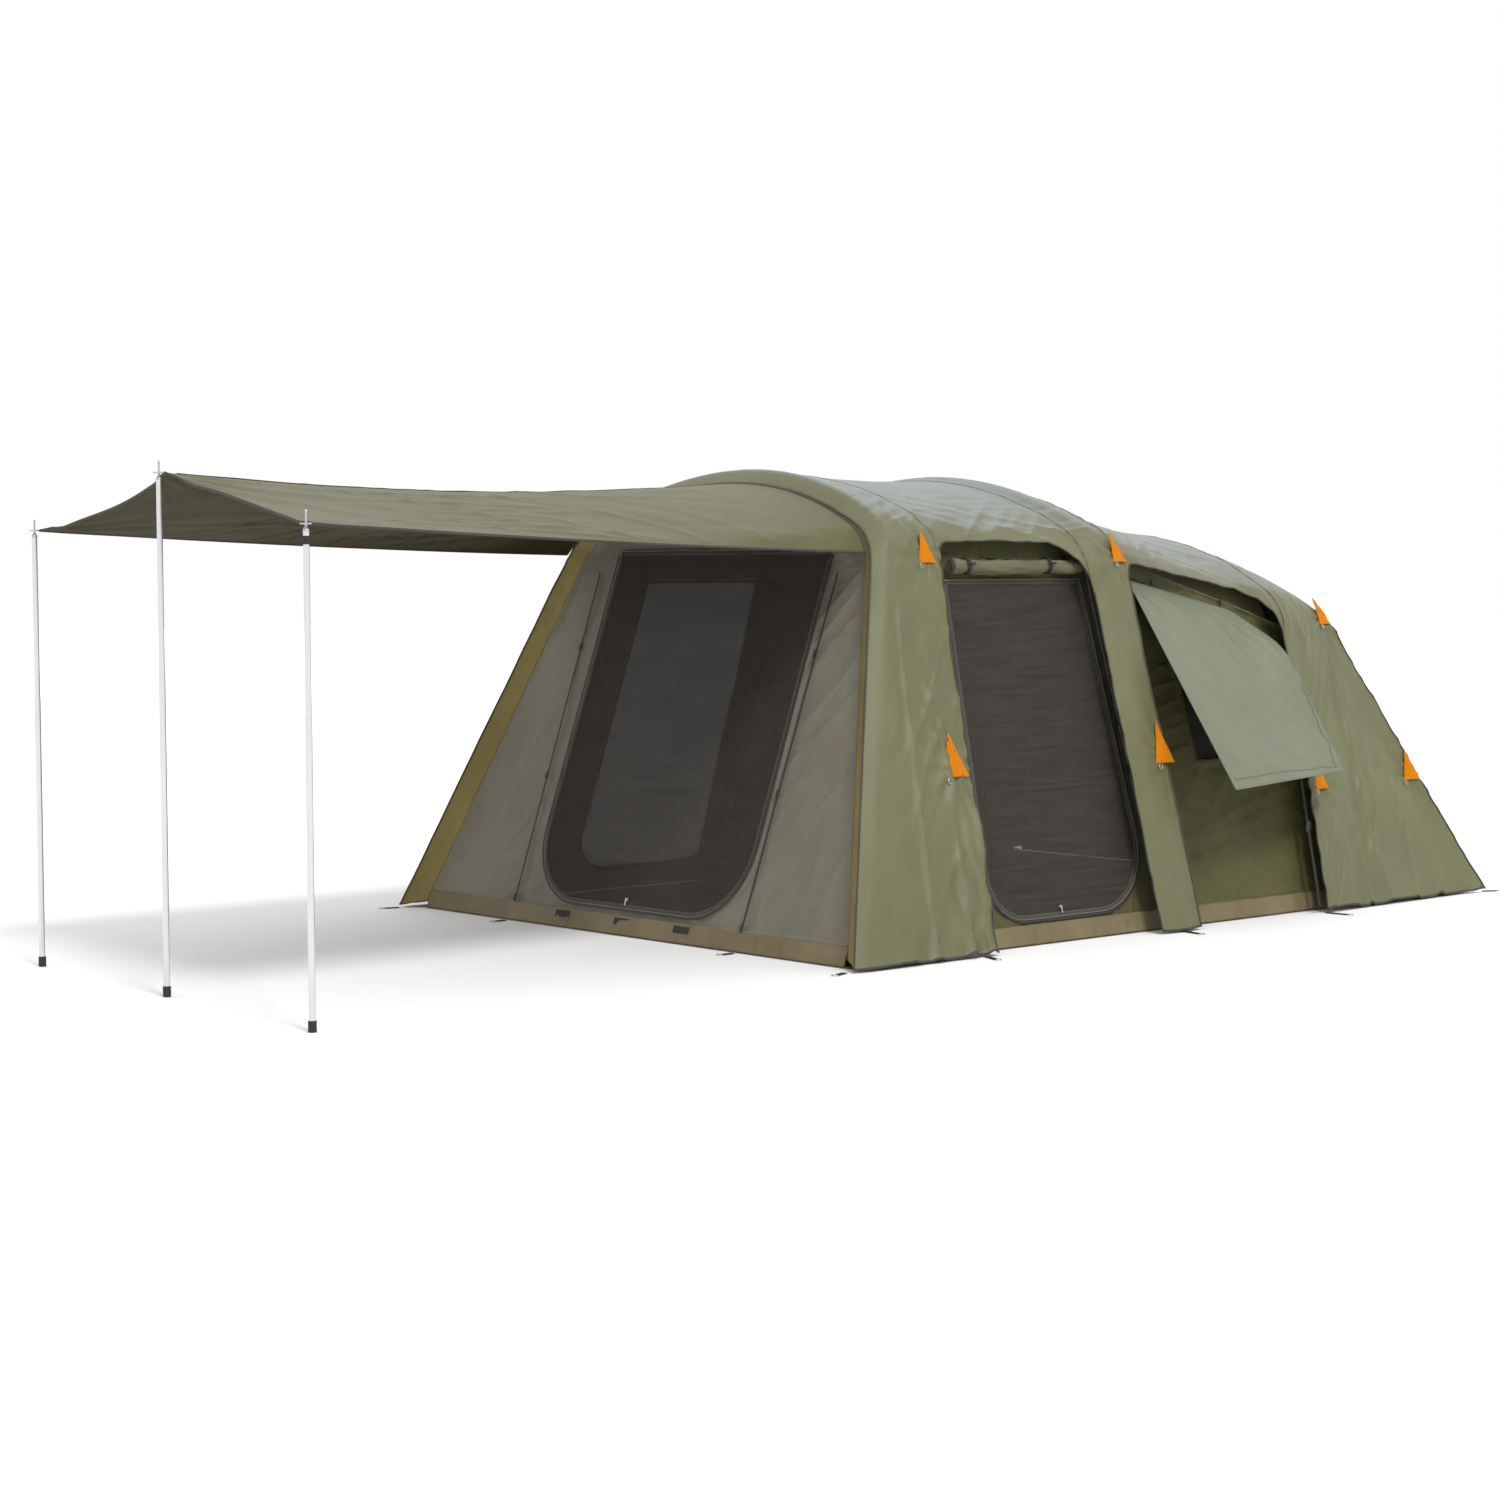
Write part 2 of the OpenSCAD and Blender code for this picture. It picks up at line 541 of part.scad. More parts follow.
// Every tab: the two stations that it lies between, its share of the way, height and scale
tabs = [
    [crest_front, seam_front, 0.75, 1640, 0.75], [crest_front, seam_front, 0.85, 735, 1],
    [crest_middle, seam_middle_b, 0.8, 1640, 0.75], [crest_middle, seam_middle_b, 0.9, 735, 1],
    [crest_rear, edge_rear, 0.45, 1330, 0.75], [seam_rear, crest_rear, 0.12, 560, 0.8],
    [crest_rear, edge_rear, 0.4, 560, 0.8]];
module each_tab() {
    from_front() for (m = [0, 1], t = tabs) mirror([m, 0, 0])
        on_fly(t[0], t[1], t[2], t[3]) scale(t[4]) children();
}
module guy_tabs() { color(orange) each_tab() tab(); }
module guy_rings() { color(metal) each_tab() ring(); }

STRAP_W = 25;
STRAP_T = 2.5;
// Every peg strap: place of its inner end from the front of the floor, direction in degrees, length
straps = [[1560, -75, -70, 70], [1600, 700, -20, 95], [1600, 1960, -10, 110], [1600, 2990, 5, 110],
    [1560, 4290, 60, 70], [800, -8, -90, 55]];
module at_strap(s) { from_front() translate([s[0], s[1], 0]) rotate([0, 0, s[2]]) children(); }
module peg_straps() {
    color(black) for (m = [0, 1]) mirror([m, 0, 0]) for (s = straps)
        at_strap(s) translate([0, -STRAP_W / 2, 0.5]) cube([s[3], STRAP_W, STRAP_T]);
}
module peg_rings() {
    color(metal) for (m = [0, 1]) mirror([m, 0, 0]) for (s = straps)
        at_strap(s) translate([s[3] + 16, 0, 2.5]) rotate_extrude() translate([13, 0]) circle(2.2);
}

// ---------- awning ----------
AWNING_LOW = 1690;      // height where the awning's side hem meets the arch
AWNING_GAP = 25;        // between the arch's front edge and the awning
RIDGE_SAG = 55;
EDGE_DIP = 25;
EDGE_BOW = 55;
EYELET_R = 22;
AWNING_TURN = 3.4;      // how far the front edge is turned in plan
EYE_Y = -awning_reach;
// The front edge: c runs from -1 at the left corner to 1 at the right corner
function front_point(c) = let (u = 4 * abs(c) * (1 - abs(c)))
    [awning_set + c * awning_half_w * cos(AWNING_TURN),
     EYE_Y - c * awning_half_w * sin(AWNING_TURN) + EDGE_BOW * u,
     ridge_h - (ridge_h - corner_h) * abs(c) - EDGE_DIP * u];
function rear_point(c) =
    let (p = edge_front, top = len(p) - 1, q = point_at(p, top - abs(c) * (top - index_at(p, AWNING_LOW))))
    [c < 0 ? -q[0] : q[0], q[1] - AWNING_GAP, q[2]];
function awning_point(c, t) = let (u = 4 * t * (1 - t))
    rear_point(c) + (front_point(c) + [0, EYELET_R + 3, 0] - rear_point(c)) * t
        - [0, 0, RIDGE_SAG * u * (1 - abs(c) * 0.8)];
AWNING_C = [for (i = [-8:8]) i / 8];
module awning_sheet() {
    color(olive) from_front()
        shell([for (t = [6:-1:0]) [for (c = AWNING_C) awning_point(-c, t / 6)]], awning_t);
}
eyes = [front_point(1), front_point(0), front_point(-1)];
module awning_eyelets() {
    color(metal) from_front() for (e = eyes) translate(e - [0, 0, 5]) difference() {
        cylinder(h = 5, r = EYELET_R);
        translate([0, 0, -1]) cylinder(h = 7, r = 7.5);
    }
}
module arch_loops() {
    color(black) from_front() for (c = [-0.9:0.15:0.91]) translate(rear_point(c) + [0, 5, -2])
        rotate([0, 90, 0]) cylinder(h = 12, r = 4, center = true);
}

// ---------- poles ----------
TUBE_PLAY = 0.08;
FOOT_H = 40;
FOOT_T = 6;
TIP_SHOULDER = 30;      // depth of the tip's shoulder below the eyelet
TIP_NECK = 12;          // depth below the eyelet where the spike starts
NECK_UP = 4;            // height of the neck above the eyelet
SPIKE_H = 38;           // length of the spike above the neck
module at_pole(i) { from_front() translate([eyes[i][0], eyes[i][1], 0]) children(); }
function joint_h(i) = eyes[i][2] * joint_share;
module upper_tube(i) {
    color(metal) at_pole(i) translate([0, 0, joint_h(i) - tube_overlap]) difference() {
        cylinder(h = eyes[i][2] - TIP_SHOULDER - joint_h(i) + tube_overlap, r = upper_r);
        translate([0, 0, -1]) cylinder(h = 3000, r = upper_r - tube_wall);
    }
}
module lower_tube(i) {
    color(metal) at_pole(i) difference() {
        translate([0, 0, FOOT_T]) cylinder(h = joint_h(i) - FOOT_T, r = lower_r);
        cylinder(h = 3000, r = upper_r + TUBE_PLAY);
    }
}
module pole_tip(i) {
    h = eyes[i][2];
    color(black) at_pole(i) {
        translate([0, 0, h - TIP_SHOULDER - 40]) cylinder(h = 40, r = upper_r - tube_wall);
        translate([0, 0, h - TIP_SHOULDER]) cylinder(h = 6, r = upper_r + 1);
        translate([0, 0, h - TIP_SHOULDER + 6])
            cylinder(h = TIP_SHOULDER - TIP_NECK - 6, r1 = upper_r + 1, r2 = spike_r + 0.5);
        translate([0, 0, h - TIP_NECK]) cylinder(h = TIP_NECK + NECK_UP, r = spike_r + 0.5);
        translate([0, 0, h + NECK_UP]) cylinder(h = SPIKE_H, r = spike_r);
        translate([0, 0, h + NECK_UP + SPIKE_H]) cylinder(h = 4, r1 = spike_r, r2 = spike_r / 2);
    }
}
module pole_foot(i) {
    color(black) at_pole(i) difference() {
        cylinder(h = FOOT_H, r = lower_r + 3);
        translate([0, 0, FOOT_T]) cylinder(h = FOOT_H, r = lower_r);
    }
}
module upper_tube_right() { upper_tube(0); }
module upper_tube_middle() { upper_tube(1); }
module upper_tube_left() { upper_tube(2); }
module pole_tip_right() { pole_tip(0); }
module pole_tip_middle() { pole_tip(1); }
module pole_tip_left() { pole_tip(2); }
module lower_tube_right() { lower_tube(0); }
module lower_tube_middle() { lower_tube(1); }
module lower_tube_left() { lower_tube(2); }
module pole_foot_right() { pole_foot(0); }
module pole_foot_middle() { pole_foot(1); }
module pole_foot_left() { pole_foot(2); }
// Hook-and-loop strap round the top of the right-hand pole
module awning_straps() {
    color(black) at_pole(0) translate([0, 0, corner_h - 75]) difference() {
        cylinder(h = 30, r = upper_r + 3);
        translate([0, 0, -1]) cylinder(h = 32, r = upper_r);
    }
}

floor_sheet();
floor_skirt();
front_wall();
rear_wall();
door_wall_right();
door_wall_left();
window_wall_right();
window_wall_left();
fly_front();
fly_middle();
fly_rear();
roof_front();
roof_rear();
beam_front();
beam_middle();
beam_rear();
valve_bodies();
valve_cap_front();
valve_cap_middle();
valve_cap_rear();
front_zip();
side_zip_right();
side_zip_left();
rolled_door_front();
rolled_door_right();
rolled_door_left();
roll_ties();
window_mesh_right();
window_mesh_left();
zip_toggles();
hook_patches();
guy_tabs();
guy_rings();
peg_straps();
peg_rings();
arch_loops();
awning_sheet();
awning_eyelets();
awning_straps();
upper_tube_right();
upper_tube_middle();
upper_tube_left();
pole_tip_right();
pole_tip_middle();
pole_tip_left();
lower_tube_right();
lower_tube_middle();
lower_tube_left();
pole_foot_right();
pole_foot_middle();
pole_foot_left();
mesh_door_front();
mesh_door_right();
mesh_door_left();
zip_slider_front();
zip_slider_right();
zip_slider_left();
window_flap_right();
window_flap_left();
rear_cover();
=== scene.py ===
# %% [markdown]
# An inflatable tent with three air-filled arches and an awning held up on three poles.
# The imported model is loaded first. Its tubes, rings, zips and pole parts are good as they are and
# only get finishes. All the cloth is made again here as thin closed shells worked out on grids,
# because cloth shows its folds, its hems and its pull lines, which a plain solid doesn't.

# %% Load the frame
import math

import bpy
import numpy as np
from mathutils import Matrix


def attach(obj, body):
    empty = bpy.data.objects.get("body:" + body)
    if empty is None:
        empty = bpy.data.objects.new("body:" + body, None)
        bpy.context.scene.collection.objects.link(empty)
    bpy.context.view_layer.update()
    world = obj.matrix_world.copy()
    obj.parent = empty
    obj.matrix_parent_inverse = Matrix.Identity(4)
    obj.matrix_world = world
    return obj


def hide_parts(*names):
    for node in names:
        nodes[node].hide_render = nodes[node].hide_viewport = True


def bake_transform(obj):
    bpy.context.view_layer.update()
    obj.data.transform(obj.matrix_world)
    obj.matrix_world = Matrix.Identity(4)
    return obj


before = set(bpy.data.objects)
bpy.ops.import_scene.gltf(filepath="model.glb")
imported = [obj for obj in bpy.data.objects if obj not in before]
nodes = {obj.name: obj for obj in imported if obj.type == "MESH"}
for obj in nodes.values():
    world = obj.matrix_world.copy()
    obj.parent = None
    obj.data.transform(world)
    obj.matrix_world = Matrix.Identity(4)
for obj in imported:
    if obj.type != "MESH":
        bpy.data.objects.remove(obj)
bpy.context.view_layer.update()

# %% [markdown]
# The camera stands at eye height, off the front right corner, with a long lens. The lamps are one
# wide soft sun and a white sky, and the floor is pale, so that the cloth's own colours show.

# %% Camera, lamps and floor
CAMERA_AT = np.array([10.158, -10.315, 1.637])
CAMERA_YAW = math.radians(-48.57)
CAMERA_PITCH = math.radians(-3.58)
CAMERA_ROLL = math.radians(-0.196)
LENS_MM = 71.07


def camera_axes(yaw, pitch, roll):
    """Right, up and forward of a camera that looks along +Y at yaw 0, turned right by yaw, raised by
    pitch and rolled about its own line of sight."""
    level = math.cos(pitch)
    forward = np.array([math.sin(yaw) * level, math.cos(yaw) * level, math.sin(pitch)])
    right = np.array([math.cos(yaw), -math.sin(yaw), 0.0])
    up = np.cross(right, forward)
    c, s = math.cos(roll), math.sin(roll)
    return right * c + up * s, up * c - right * s, forward


def make_camera():
    right, up, forward = camera_axes(CAMERA_YAW, CAMERA_PITCH, CAMERA_ROLL)
    data = bpy.data.cameras.new("camera")
    data.lens = LENS_MM
    data.sensor_width = 36
    data.clip_end = 300
    camera = bpy.data.objects.new("camera", data)
    bpy.context.scene.collection.objects.link(camera)
    turn = np.stack([right, up, -forward], axis=1)
    camera.matrix_world = Matrix.Translation(CAMERA_AT.tolist()) @ Matrix(turn.tolist()).to_4x4()
    bpy.context.scene.camera = camera


def make_light():
    world = bpy.data.worlds.new("sky")
    bpy.context.scene.world = world
    world.use_nodes = True
    sky = world.node_tree.nodes["Background"]
    sky.inputs["Color"].default_value = (1, 1, 1, 1)
    sky.inputs["Strength"].default_value = 1.0
    sun = bpy.data.lights.new("soft_sun", "SUN")
    sun.energy = 1.9
    sun.angle = math.radians(14)
    lamp = bpy.data.objects.new("soft_sun", sun)
    bpy.context.scene.collection.objects.link(lamp)
    lamp.rotation_euler = (math.radians(38), math.radians(12), math.radians(62))
    bpy.context.scene.view_settings.view_transform = "Standard"


def make_floor():
    mesh = bpy.data.meshes.new("floor")
    half, low = 60.0, -0.0015
    mesh.from_pydata([(-half, -half, low), (half, -half, low), (half, half, low), (-half, half, low)], [],
                     [(0, 1, 2, 3)])
    floor = bpy.data.objects.new("floor", mesh)
    bpy.context.scene.collection.objects.link(floor)
    paint = bpy.data.materials.new("pale_floor")
    paint.use_nodes = True
    paint.node_tree.nodes["Principled BSDF"].inputs["Base Color"].default_value = (0.86, 0.86, 0.86, 1)
    paint.node_tree.nodes["Principled BSDF"].inputs["Roughness"].default_value = 0.9
    floor.data.materials.append(paint)


make_camera()
make_light()
make_floor()
print("camera, sky, sun and floor made")

# %% [markdown]
# A finish is a small tree of nodes. Cloth needs three things: a colour that drifts a little from
# place to place, a weave that runs with the cloth, and fine creases. The weave reads the piece's UV
# map, which is laid out in metres on the cloth, so its threads keep their size and follow the folds.
# Numbers that are the same all over sit on the shader's own sockets.

# %% Finishes: the building blocks


def new_finish(name, rough, **sockets):
    """A material with one Principled shader, whose steady numbers are set on its own sockets."""
    material = bpy.data.materials.new(name)
    material.use_nodes = True
    shader = material.node_tree.nodes["Principled BSDF"]
    shader.inputs["Roughness"].default_value = rough
    for socket, value in sockets.items():
        shader.inputs[socket.replace("_", " ")].default_value = value
    return material, material.node_tree, shader


def pattern_space(tree, use_uv, scale, turn=0.0):
    """Coordinates for a pattern: the cloth's UV map in metres, or the piece's own Object coordinates."""
    where = tree.nodes.new("ShaderNodeTexCoord")
    place = tree.nodes.new("ShaderNodeMapping")
    place.inputs["Scale"].default_value = scale
    place.inputs["Rotation"].default_value = (0, 0, turn)
    tree.links.new(where.outputs["UV" if use_uv else "Object"], place.inputs["Vector"])
    return place.outputs["Vector"]


def add_noise(tree, vector, detail):
    noise = tree.nodes.new("ShaderNodeTexNoise")
    noise.inputs["Scale"].default_value = 1.0
    noise.inputs["Detail"].default_value = detail
    noise.inputs["Roughness"].default_value = 0.55
    tree.links.new(vector, noise.inputs["Vector"])
    return noise.outputs["Fac"]


def add_ramp(tree, factor, low, high):
    """Turns a factor into a colour between low and high: low up to 0.3, high from 0.7."""
    ramp = tree.nodes.new("ShaderNodeValToRGB")
    ramp.color_ramp.elements[0].position = 0.3
    ramp.color_ramp.elements[1].position = 0.7
    ramp.color_ramp.elements[0].color = (*low, 1)
    ramp.color_ramp.elements[1].color = (*high, 1)
    tree.links.new(factor, ramp.inputs["Fac"])
    return ramp.outputs["Color"]


def add_math(tree, operation, a, b):
    node = tree.nodes.new("ShaderNodeMath")
    node.operation = operation
    for socket, value in zip(node.inputs, (a, b)):
        if isinstance(value, float):
            socket.default_value = value
        else:
            tree.links.new(value, socket)
    return node.outputs["Value"]


def add_bump(tree, shader, height, strength, distance):
    bump = tree.nodes.new("ShaderNodeBump")
    bump.inputs["Strength"].default_value = strength
    bump.inputs["Distance"].default_value = distance
    tree.links.new(height, bump.inputs["Height"])
    tree.links.new(bump.outputs["Normal"], shader.inputs["Normal"])


def weave_height(tree, use_uv, thread):
    """Plain weave: two sets of sine bands across each other, one thread apart, added together."""
    bands = []
    for direction in ("X", "Y"):
        wave = tree.nodes.new("ShaderNodeTexWave")
        wave.bands_direction = direction
        wave.inputs["Scale"].default_value = 1.0
        tree.links.new(pattern_space(tree, use_uv, (0.31 / thread,) * 3), wave.inputs["Vector"])
        bands.append(wave.outputs["Fac"])
    return add_math(tree, "MULTIPLY", bands[0], bands[1])


def cloth_finish(name, dark, light, rough, thread=0.0016, crease=0.004, use_uv=True, **sockets):
    """Woven cloth: blotches from 0.5 m down to 5 cm, a woven height and short random creases."""
    material, tree, shader = new_finish(name, rough, **sockets)
    drift = add_noise(tree, pattern_space(tree, use_uv, (2.1, 1.3, 2.1)), 5.0)
    tree.links.new(add_ramp(tree, drift, dark, light), shader.inputs["Base Color"])
    fine = add_noise(tree, pattern_space(tree, use_uv, (26.0, 9.0, 26.0), 0.6), 3.0)
    weave = add_math(tree, "MULTIPLY", weave_height(tree, use_uv, thread), 0.12)
    add_bump(tree, shader, add_math(tree, "ADD", fine, weave), 0.55, crease)
    return material


def painted_sky_sheen_finish(name, dark, light, pale, rough, **sockets):
    """Cloth with the sky's sheen painted into its colour: the weave's colour, mixed with pale by how far
    the surface points up, with streaks of the same noise as the cloth's own blotches."""
    material = cloth_finish(name, dark, light, rough, **sockets)
    tree = material.node_tree
    shader = tree.nodes["Principled BSDF"]
    plain = shader.inputs["Base Color"].links[0].from_socket
    # Painted sky reflection: the colour turns pale where the surface's normal points up.
    facing = tree.nodes.new("ShaderNodeSeparateXYZ")
    tree.links.new(tree.nodes.new("ShaderNodeNewGeometry").outputs["Normal"], facing.inputs["Vector"])
    ramp = tree.nodes.new("ShaderNodeMapRange")
    ramp.interpolation_type = "SMOOTHSTEP"
    ramp.inputs["From Min"].default_value = 0.78
    ramp.inputs["From Max"].default_value = 0.995
    tree.links.new(facing.outputs["Z"], ramp.inputs["Value"])
    streak = add_noise(tree, pattern_space(tree, True, (3.5, 8.0, 3.5), 0.7), 4.0)
    share = add_math(tree, "MULTIPLY", ramp.outputs["Result"], add_math(tree, "ADD", streak, 0.45))
    mix = tree.nodes.new("ShaderNodeMix")
    mix.data_type = "RGBA"
    tree.links.new(share, mix.inputs[0])
    tree.links.new(plain, mix.inputs[6])
    mix.inputs[7].default_value = (*pale, 1)
    tree.links.new(mix.outputs[2], shader.inputs["Base Color"])
    return material

# %% [markdown]
# The colours of the real tent: an olive outer fly and awning, with the cool sheen of the sky painted
# into their colour where they face up, warmer grey-green inner walls, a brown-green groundsheet, dark
# netting, black webbing and orange guy tabs.

# %% Finishes: one for every material
FINISH = {
    # The fly and the awning get a third, pale colour: painted sheen of the sky, mixed in where the cloth
    # faces up.
    "fly": painted_sky_sheen_finish("fly_cloth", (0.092, 0.094, 0.038), (0.128, 0.128, 0.056), (0.19, 0.217, 0.208),
                        0.42, Specular_IOR_Level=0.5, Sheen_Weight=0.06, Sheen_Roughness=0.4),
    "fly_lining": cloth_finish("fly_lining_cloth", (0.17, 0.128, 0.032), (0.23, 0.175, 0.05), 0.7),
    "awning": painted_sky_sheen_finish("awning_cloth", (0.062, 0.063, 0.015), (0.092, 0.090, 0.028),
                           (0.112, 0.108, 0.055), 0.46, Specular_IOR_Level=0.28, Sheen_Weight=0.0),
    "awning_lining": cloth_finish("awning_lining_cloth", (0.036, 0.029, 0.007), (0.052, 0.042, 0.012), 0.8,
                                  Specular_IOR_Level=0.25),
    "wall": cloth_finish("wall_cloth", (0.150, 0.142, 0.104), (0.188, 0.178, 0.132), 0.8, crease=0.008),
    "side_wall": cloth_finish("side_wall_cloth", (0.060, 0.059, 0.016), (0.098, 0.093, 0.034), 0.72,
                              crease=0.012, Specular_IOR_Level=0.35),
    "roll": cloth_finish("rolled_cloth", (0.080, 0.076, 0.036), (0.190, 0.178, 0.100), 0.75, crease=0.016),
    "flap": cloth_finish("flap_cloth", (0.128, 0.146, 0.092), (0.160, 0.178, 0.120), 0.5, crease=0.006,
                         Specular_IOR_Level=0.5),
    # Painted shade: this dark colour stands in for the shade in the recess above the side walls.
    "shade_valance": cloth_finish("shade_valance_cloth", (0.050, 0.050, 0.014), (0.075, 0.074, 0.026), 0.75, crease=0.01),
    "floor": cloth_finish("floor_cloth", (0.115, 0.086, 0.036), (0.205, 0.160, 0.078), 0.5, crease=0.014,
                          Specular_IOR_Level=0.5),
    "piping": cloth_finish("piping_cloth", (0.034, 0.031, 0.024), (0.055, 0.050, 0.040), 0.8, crease=0.001),
    "tab": cloth_finish("tab_cloth", (0.44, 0.135, 0.002), (0.72, 0.235, 0.004), 0.8, crease=0.008,
                        Specular_IOR_Level=0.1),
    "sleeve": cloth_finish("sleeve_cloth", (0.020, 0.021, 0.020), (0.040, 0.042, 0.038), 0.6, crease=0.006),
    "webbing": cloth_finish("webbing", (0.006, 0.006, 0.006), (0.018, 0.018, 0.017), 0.75, 0.003, 0.001,
                            use_uv=False),
}


def netting_finish():
    """Fine netting seen from afar: a steady see-through share, a dark yarn and a faint slub pattern."""
    material, tree, shader = new_finish("netting", 0.9, Alpha=0.64, Specular_IOR_Level=0.2)
    slub = add_noise(tree, pattern_space(tree, True, (3.0, 60.0, 3.0)), 4.0)
    yarn = add_ramp(tree, slub, (0.036, 0.031, 0.026), (0.062, 0.054, 0.046))
    tree.links.new(yarn, shader.inputs["Base Color"])
    return material


def metal_finish(name, dark, light, rough, along):
    """Drawn metal: grey with fine streaks, 1/along of a metre apart in each direction."""
    material, tree, shader = new_finish(name, rough, Metallic=1.0)
    streaks = add_noise(tree, pattern_space(tree, False, along), 6.0)
    tree.links.new(add_ramp(tree, streaks, dark, light), shader.inputs["Base Color"])
    add_bump(tree, shader, streaks, 0.15, 0.0004)
    return material


def moulded_finish(name, dark, light, rough):
    """Moulded plastic or rubber: nearly one tone, with a pebbled skin of about 1 mm."""
    material, tree, shader = new_finish(name, rough)
    pebbles = add_noise(tree, pattern_space(tree, False, (900.0, 900.0, 900.0)), 2.0)
    tree.links.new(add_ramp(tree, pebbles, dark, light), shader.inputs["Base Color"])
    add_bump(tree, shader, pebbles, 0.25, 0.0003)
    return material


def zip_finish():
    """A zip: black tape with a tooth every 3 mm along it."""
    material, tree, shader = new_finish("zip_tape", 0.55)
    teeth = tree.nodes.new("ShaderNodeTexWave")
    teeth.inputs["Scale"].default_value = 1.0
    teeth.bands_direction = "DIAGONAL"
    tree.links.new(pattern_space(tree, False, (100.0, 100.0, 100.0)), teeth.inputs["Vector"])
    tree.links.new(add_ramp(tree, teeth.outputs["Fac"], (0.008, 0.008, 0.008), (0.03, 0.03, 0.029)),
                   shader.inputs["Base Color"])
    add_bump(tree, shader, teeth.outputs["Fac"], 0.6, 0.001)
    return material


FINISH["netting"] = netting_finish()
FINISH["aluminium"] = metal_finish("aluminium_tube", (0.6, 0.61, 0.62), (0.78, 0.79, 0.8), 0.3, (900, 900, 3))
FINISH["steel"] = metal_finish("plated_steel", (0.4, 0.4, 0.4), (0.6, 0.6, 0.6), 0.28, (400, 400, 400))
FINISH["plastic"] = moulded_finish("black_plastic", (0.012, 0.012, 0.012), (0.03, 0.03, 0.03), 0.5)
FINISH["rubber"] = moulded_finish("black_rubber", (0.01, 0.01, 0.01), (0.022, 0.022, 0.022), 0.75)
FINISH["zip"] = zip_finish()
print("finishes:", len(FINISH))

# %% [markdown]
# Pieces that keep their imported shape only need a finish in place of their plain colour.

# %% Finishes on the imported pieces
KEPT = {
    "aluminium": [f"{part}_tube_{place}" for part in ("upper", "lower")
                  for place in ("right", "middle", "left")],
    "steel": ["guy_rings", "peg_rings", "awning_eyelets", "zip_slider_front", "zip_slider_right",
              "zip_slider_left", "pole_tip_right", "pole_tip_middle", "pole_tip_left"],
    "rubber": ["pole_foot_right", "pole_foot_middle", "pole_foot_left"],
    "plastic": ["valve_bodies", "valve_cap_front", "valve_cap_middle", "valve_cap_rear", "zip_toggles"],
    "zip": ["front_zip", "side_zip_right", "side_zip_left"],
    "webbing": ["roll_ties", "hook_patches", "peg_straps", "arch_loops", "awning_straps"],
}
for finish, names in KEPT.items():
    for name in names:
        for material_slot in nodes[name].material_slots:
            material_slot.material = FINISH[finish]
print("packed pieces with a finish:", sum(len(names) for names in KEPT.values()))

# %% [markdown]
# A sheet of cloth is a grid of points. Its thickness is a second grid, moved in along the normals,
# and a rim joins the two, so that every piece is closed and its faces point outwards. A tube is a
# profile carried along a path. Both are whole-array sums, with no loop over the points.

# %% Making closed cloth and tubes


def put_mesh(name, points, faces, finish, uv=None, lining=None):
    """A mesh object from an array of points and a list of face arrays, each of them n by 3 or 4. With a
    lining, every list of faces after the first takes the lining's finish."""
    mesh = bpy.data.meshes.new(name)
    mesh.vertices.add(len(points))
    mesh.vertices.foreach_set("co", np.ascontiguousarray(points, np.float32).ravel())
    corners = np.concatenate([f.ravel() for f in faces]).astype(np.int32)
    sizes = np.concatenate([np.full(len(f), f.shape[1]) for f in faces])
    mesh.loops.add(len(corners))
    mesh.loops.foreach_set("vertex_index", corners)
    mesh.polygons.add(len(sizes))
    mesh.polygons.foreach_set("loop_start", (np.cumsum(sizes) - sizes).astype(np.int32))
    mesh.polygons.foreach_set("loop_total", sizes.astype(np.int32))
    mesh.polygons.foreach_set("use_smooth", np.full(len(sizes), True))
    mesh.materials.append(FINISH[finish])
    if lining:
        mesh.materials.append(FINISH[lining])
        lined = np.arange(len(sizes)) >= len(faces[0])
        mesh.polygons.foreach_set("material_index", lined.astype(np.int32))
    mesh.update(calc_edges=True)
    mesh.validate()
    if uv is not None:
        layer = mesh.uv_layers.new(name="cloth")
        layer.data.foreach_set("uv", np.ascontiguousarray(uv[corners], np.float32).ravel())
    piece = bpy.data.objects.new(name, mesh)
    bpy.context.scene.collection.objects.link(piece)
    return piece


def grid_normals(grid, wrap=False):
    """Unit normals of a grid: the cross product of its two central differences."""
    along = np.gradient(grid, axis=0)
    if wrap:
        across = (np.roll(grid, -1, 1) - np.roll(grid, 1, 1)) / 2
    else:
        across = np.gradient(grid, axis=1)
    normal = np.cross(along, across)
    return normal / np.maximum(np.linalg.norm(normal, axis=2, keepdims=True), 1e-12)


def grid_metres(grid):
    """A UV map in metres: the mean running length along each direction of the grid."""
    u = np.concatenate([[0], np.cumsum(np.linalg.norm(np.diff(grid, axis=0), axis=2).mean(1))])
    v = np.concatenate([[0], np.cumsum(np.linalg.norm(np.diff(grid, axis=1), axis=2).mean(0))])
    return np.stack(np.meshgrid(u, v, indexing="ij"), axis=2)


def quads(ids, wrap=False):
    """Every cell of a grid of indices as a quad, turning from the first direction to the second."""
    nxt = np.roll(ids, -1, 1) if wrap else ids[:, 1:]
    cur = ids if wrap else ids[:, :-1]
    return np.stack([cur[:-1], cur[1:], nxt[1:], nxt[:-1]], axis=2).reshape(-1, 4)


